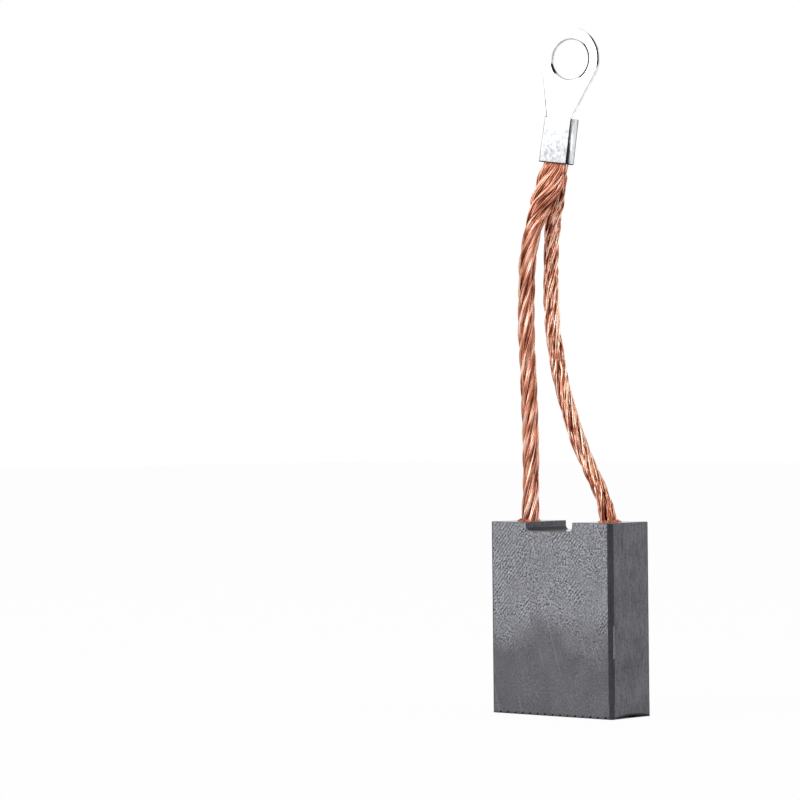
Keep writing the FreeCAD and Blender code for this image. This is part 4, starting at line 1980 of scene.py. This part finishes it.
    def edge_shade(self, place: Vector, normal: Vector) -> float:
        """Give the painted shade and dark reflection of a cut edge, which lies on its front rounding and
        leaves the walls untouched.

        It is full round the ring's and the hole's right, at the hole's lower left, down the tongue's left
        and round the barrel's mouth. Elsewhere it is a thin line in the middle of the rounding, or nothing.

        Args:
            place: the place in the terminal's frame.
            normal: the way that it faces there.

        Returns:
            The darkness, from 0 to 1.
        """
        if place.z < self.barrel_length - 0.5 * MM:
            return 1.0
        aside, above = self.from_ring(place)
        reach = math.hypot(aside, above)
        forward = -normal.y
        rounding = smooth_step(0.05, 0.40, forward)
        line = 0.8 * smooth_step(0.99, 0.90, forward) * smooth_step(0.50, 0.85, forward)
        right = smooth_step(0.35, 0.80, aside / reach)
        if reach < self.hole_radius + self.hole_rim_radius + 0.05 * MM:
            inner = smooth_step(0.90, 0.70, forward) * smooth_step(0.10, 0.45, forward)
            low_left = smooth_step(0.93, 0.995, -(0.85 * aside + 0.53 * above) / reach)
            return max(0.55 * inner, rounding * max(right, low_left))
        if above < -2.0 * MM:
            return 0.6 * line if place.x > 0.0 else rounding
        return max(0.15 * line, 0.9 * rounding * right * smooth_step(-1.8 * MM, -0.2 * MM, above))


@dataclass
class PowderCollar:
    """Tamped powder round the foot of a lead, with loose grains on it.

    Attributes:
        name: name of the piece.
        node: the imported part's node that it stands for.
        seed: seed of its random draws.
        grains: number of loose grains.
        inner_radius: distance of the nearest grains from the lead's middle.
        outer_radius: distance of the farthest grains.
        crowding: power that crowds the grains towards the lead.
        grain_radius: range of the grains' radii.
        grain_stretch: ranges of their stretch along each axis.
        bank: height of the heap at the lead.
        skin: height over the head where the unevenness starts.
        roughness: repeats of the unevenness per metre.
    """

    name: str
    node: str
    seed: int
    grains: int = 90
    inner_radius: float = 1.65 * MM
    outer_radius: float = 2.35 * MM
    crowding: float = 1.4
    grain_radius: Span = (0.07 * MM, 0.17 * MM)
    grain_stretch: tuple[Span, Span, Span] = ((0.7, 1.4), (0.7, 1.4), (0.6, 1.0))
    bank: float = 0.3 * MM
    skin: float = 0.01 * MM
    roughness: float = 1900.0

    def build(self, node: Object, head: float) -> Object:
        """Make the collar.

        Args:
            node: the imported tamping.
            head: height of the block's head.

        Returns:
            The collar.
        """
        shape = merged_copy(node)
        low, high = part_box(self.node)
        middle = Vector(((low.x + high.x) / 2, (low.y + high.y) / 2, head))
        self.roughen(shape, middle)
        draws = random.Random(self.seed)
        for _ in range(self.grains):
            self.add_grain(shape, middle, draws)
        return make_piece(self.name, shape, self.node, [built(POWDER)])

    def roughen(self, shape: Shape, middle: Vector) -> None:
        """Make what stands over the head uneven.

        Args:
            shape: the collar.
            middle: middle of the lead at the head.
        """
        level = middle.z + self.skin
        raised = [face for face in shape.faces if face.calc_center_median().z > level]
        bmesh.ops.triangulate(shape, faces=raised)
        edges = [edge for edge in shape.edges if max(vert.co.z for vert in edge.verts) > level]
        bmesh.ops.subdivide_edges(shape, edges=edges, cuts=2, use_grid_fill=True)
        for vert in shape.verts:
            over = vert.co.z - middle.z
            if over > self.skin:
                rough = noise.noise(vert.co * self.roughness + Vector((self.seed, 0.0, 0.0)))
                vert.co.z = middle.z + over * (0.45 + 0.5 * rough)
                vert.co.xy = middle.xy + (vert.co.xy - middle.xy) * (1.0 + 0.12 * rough)

    def add_grain(self, shape: Shape, middle: Vector, draws: random.Random) -> None:
        """Drop one grain on the collar.

        Args:
            shape: the collar.
            middle: middle of the lead at the head.
            draws: source of the random draws.
        """
        angle = draws.uniform(0.0, math.tau)
        width = self.outer_radius - self.inner_radius
        reach = self.inner_radius + width * draws.random() ** self.crowding
        radius = draws.uniform(*self.grain_radius)
        rise = self.bank * smooth_step(self.outer_radius, self.inner_radius, reach) + radius * 0.4
        place = middle + Vector((math.cos(angle) * reach, math.sin(angle) * reach, rise))
        turn = Matrix.Rotation(draws.uniform(0.0, math.tau), 4, "X")
        stretch = Matrix.Diagonal([draws.uniform(*span) for span in self.grain_stretch] + [1.0])
        bmesh.ops.create_icosphere(shape, subdivisions=1, radius=radius,
                                   matrix=Matrix.Translation(place) @ turn @ stretch)


LEADS = (
    Lead("rope_left", "lead_left", LEFT_ROUTE, Side.FRONT, SATIN_COPPER, looseness=0.25, stray_wires=0,
         seed=11, wires=15, wire_radius=0.138 * MM),
    Lead("rope_right", "lead_right", RIGHT_ROUTE, Side.BACK, STREAKED_COPPER, looseness=1.0,
         stray_wires=30, seed=23, fullness=(0.94, 0.16)),
)
COLLARS = (
    PowderCollar("powder_left", "tamping_left", 30),
    PowderCollar("powder_right", "tamping_right", 31),
)


def main() -> None:
    """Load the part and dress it."""
    logging.basicConfig(level=logging.INFO, format="%(name)s: %(message)s")
    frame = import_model()
    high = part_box("carbon_block")[1]
    Studio((high.x, high.y)).build()
    terminal_frame = TerminalFrame().matrix(high.z)
    terminal = RingTerminal().build(terminal_frame)
    for lead in LEADS:
        lead.build(high.z, terminal_frame, terminal)
    CarbonBlock().build(frame["nodes"]["carbon_block"])
    for collar in COLLARS:
        collar.build(frame["nodes"][collar.node], high.z)


if __name__ == "__main__":
    main()
